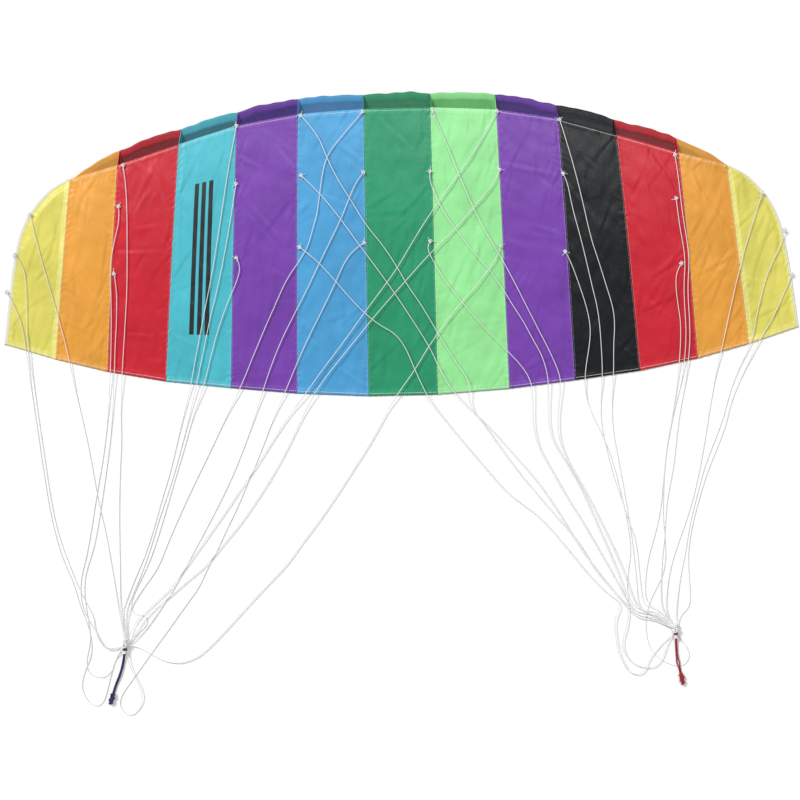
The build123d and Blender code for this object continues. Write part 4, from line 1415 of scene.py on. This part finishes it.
@dataclass
class Leader:
    """A leader: doubled cord, hitched and whipped to its tow knot and knotted at its end."""

    side: Side
    route: tuple
    wardrobe: Wardrobe
    eye: float = 0.0
    diameter: float = 4.0 * MM
    strand: float = 1.3 * MM
    start_height: float = 5.5 * MM
    # Turns round the top of the cord: half their size, and their places along it.
    turn_size: tuple = (3.6 * MM, 3.4 * MM)
    hitch_places: tuple = (-5.0, -2.6)
    whipping_places: tuple = (0.0, 2.2, 4.4)
    # The end knot's lobes: places in millimetres and half sizes.
    lobes: tuple = ((-13, 3.9), (-8, 4.6), (-2, 4.4), (2.8, 3.5))

    def _strands(self, path: Array) -> list[Array]:
        """The two strands: side by side, a little twisted, and parted where the eye is.

        Args:
            path: The leader's middle line.

        Returns:
            The strands' middle lines.
        """
        ahead = np.gradient(path, axis=0)
        ahead /= np.linalg.norm(ahead, axis=1, keepdims=True)
        level = np.cross(ahead, (0, 0, 1.0))
        upright = np.cross(level, ahead)
        t = np.linspace(0, 1, len(path))
        lean = 0.45 * np.sin(9 * t + 0.6)
        apart = self.strand + self.eye * np.exp(-((t - 0.62) / 0.12)**2)
        offset = apart[:, None] * (level * np.cos(lean)[:, None] + upright * np.sin(lean)[:, None])
        return [path + offset, path - offset]

    def build(self) -> None:
        """Build the doubled cord, its hitch, the white whipping beside it and its long end knot."""
        name, finish = self.side.value, self.wardrobe.leader[self.side]
        points = np.c_[plan_points(self.route), np.full(len(self.route), self.diameter / 2)]
        points[0, 2] = self.start_height
        path = smooth_route(points)
        cord, hitch, knot = MeshBuffer(), MeshBuffer(), MeshBuffer()
        for strand in self._strands(path):
            cord.tube(strand, self.strand, 10)
        along = path[1] - path[0]
        along = along * (1, 1, 0) / np.linalg.norm(along[:2])
        across = np.array([-along[1], along[0], 0])
        t = np.linspace(0, 2 * math.pi, 24, endpoint=False)[:, None]
        whipping = MeshBuffer()
        wide, high = self.turn_size
        ring = across * np.cos(t) * wide + np.array([0, 0, high]) * np.sin(t)
        for buffer, places in ((hitch, self.hitch_places), (whipping, self.whipping_places)):
            for place in places:
                buffer.tube(path[0] + ring + along * place * MM, 1.05 * MM, 8, loop=True)
        band = whipping.finish(f"{name}_leader_whipping", self.wardrobe.line)
        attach(band, f"{name}_leader_cord")
        low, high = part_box(f"{name}_leader_end_knot")
        end = np.array((low + high) / 2)
        out = path[-1] - path[-8]
        out = out * (1, 1, 0) / np.linalg.norm(out[:2])
        turn = math.atan2(out[1], out[0])
        for lobe, (place, size) in enumerate(self.lobes):
            line = trefoil(end + out * place * MM, size * MM, turn + lobe, 1.5 * MM)
            knot.tube(line, 1.4 * MM, 8, loop=True)
        for buffer, part in ((hitch, "hitch"), (knot, "end_knot_turns"), (cord, "strands")):
            piece = buffer.finish(f"{name}_leader_{part}", finish)
            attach(piece, f"{name}_leader_cord")
        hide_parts(f"{name}_leader_end_knot")
        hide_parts(f"{name}_leader")
        LOG.info("%s leader: %.0f mm", name, path_length(path) * 1000)


# ---------------------------------------------------------------------------- the studio


@dataclass
class Studio:
    """Camera straight above, a white floor and soft light from behind, mostly from the left."""

    camera_place: tuple = (-0.007, -0.312, 3.2)
    camera_turn: float = -1.3
    lens: float = 72.0
    # Broad, far lights, so the floor is as bright everywhere: direction, width and strength.
    lights: tuple = (((-4.6, 4.2, 4.8), 16.0, 2.7), ((0.9, 2.2, 5.0), 17.0, 1.0))
    sky: float = 0.38
    # The floor's half width and its level, just below the cloth.
    floor: tuple = (6.0, -0.3 * MM)

    def build_camera(self) -> None:
        """Place the camera."""
        data = bpy.data.cameras.new("camera")
        data.lens, data.sensor_width = self.lens, 36.0
        camera = bpy.data.objects.new("camera", data)
        camera.location = self.camera_place
        camera.rotation_euler = (0, 0, math.radians(self.camera_turn))
        bpy.context.scene.collection.objects.link(camera)
        bpy.context.scene.camera = camera

    def build_stage(self) -> None:
        """Lay the floor, hang the two lights and light the sky evenly."""
        scene = bpy.context.scene
        scene.view_settings.view_transform = "Standard"
        mesh = bpy.data.meshes.new("floor")
        half, depth = self.floor
        mesh.from_pydata([(-half, -half, depth), (half, -half, depth), (half, half, depth),
                          (-half, half, depth)], [], [(0, 1, 2, 3)])
        # A painted studio floor: an even, matt white.
        mesh.materials.append(PlainFinish("white_painted_floor", "#EFEFEF", 0.9, 40.0,
                                          specular=0.1, mottle=0.99).material())
        floor = bpy.data.objects.new("floor", mesh)
        scene.collection.objects.link(floor)
        for number, ((x, y, z), width, strength) in enumerate(self.lights):
            light = bpy.data.lights.new(f"softbox_{number}", "SUN")
            light.angle, light.energy = math.radians(width), strength
            softbox = bpy.data.objects.new(light.name, light)
            softbox.location = (x, y, z)
            softbox.rotation_euler = (math.atan2(math.hypot(x, y), z), 0, math.atan2(x, -y))
            scene.collection.objects.link(softbox)
        world = bpy.data.worlds.new("studio")
        world.use_nodes = True
        backing = world.node_tree.nodes["Background"]
        backing.inputs[0].default_value = (1, 1, 1, 1)
        # The camera sees a white backdrop, while the sky lights the kite less strongly.
        seen = add(world.node_tree, "ShaderNodeLightPath", {})
        strength = add(world.node_tree, "ShaderNodeMath",
                       {0: seen.outputs["Is Camera Ray"], 1: 1.0 - self.sky, 2: self.sky},
                       operation="MULTIPLY_ADD")
        world.node_tree.links.new(strength.outputs[0], backing.inputs[1])
        scene.world = world


def main() -> None:
    """Build the camera and cords, then the cloth."""
    logging.basicConfig(level=logging.INFO, format="%(name)s: %(message)s")
    studio = Studio()
    studio.build_camera()
    wardrobe = Wardrobe()
    plan = Planform()
    bridle = Bridle(plan, wardrobe)
    bridle.build_lines()
    Leader(Side.LEFT, LEFT_LEADER, wardrobe).build()
    Leader(Side.RIGHT, RIGHT_LEADER, wardrobe, eye=1.3 * MM).build()
    bridle.build_ties()
    bridle.build_tow_knots()
    studio.build_stage()
    lower = LowerSkin(plan, Drape(plan), wardrobe)
    lower.build()
    UpperSkin(plan, wardrobe).build()
    Stitching(lower).build()
    TipBinding(plan, wardrobe).build()
    PrintedBars(lower).build()
    Ribs(wardrobe).dress()


if __name__ == "__main__":
    main()
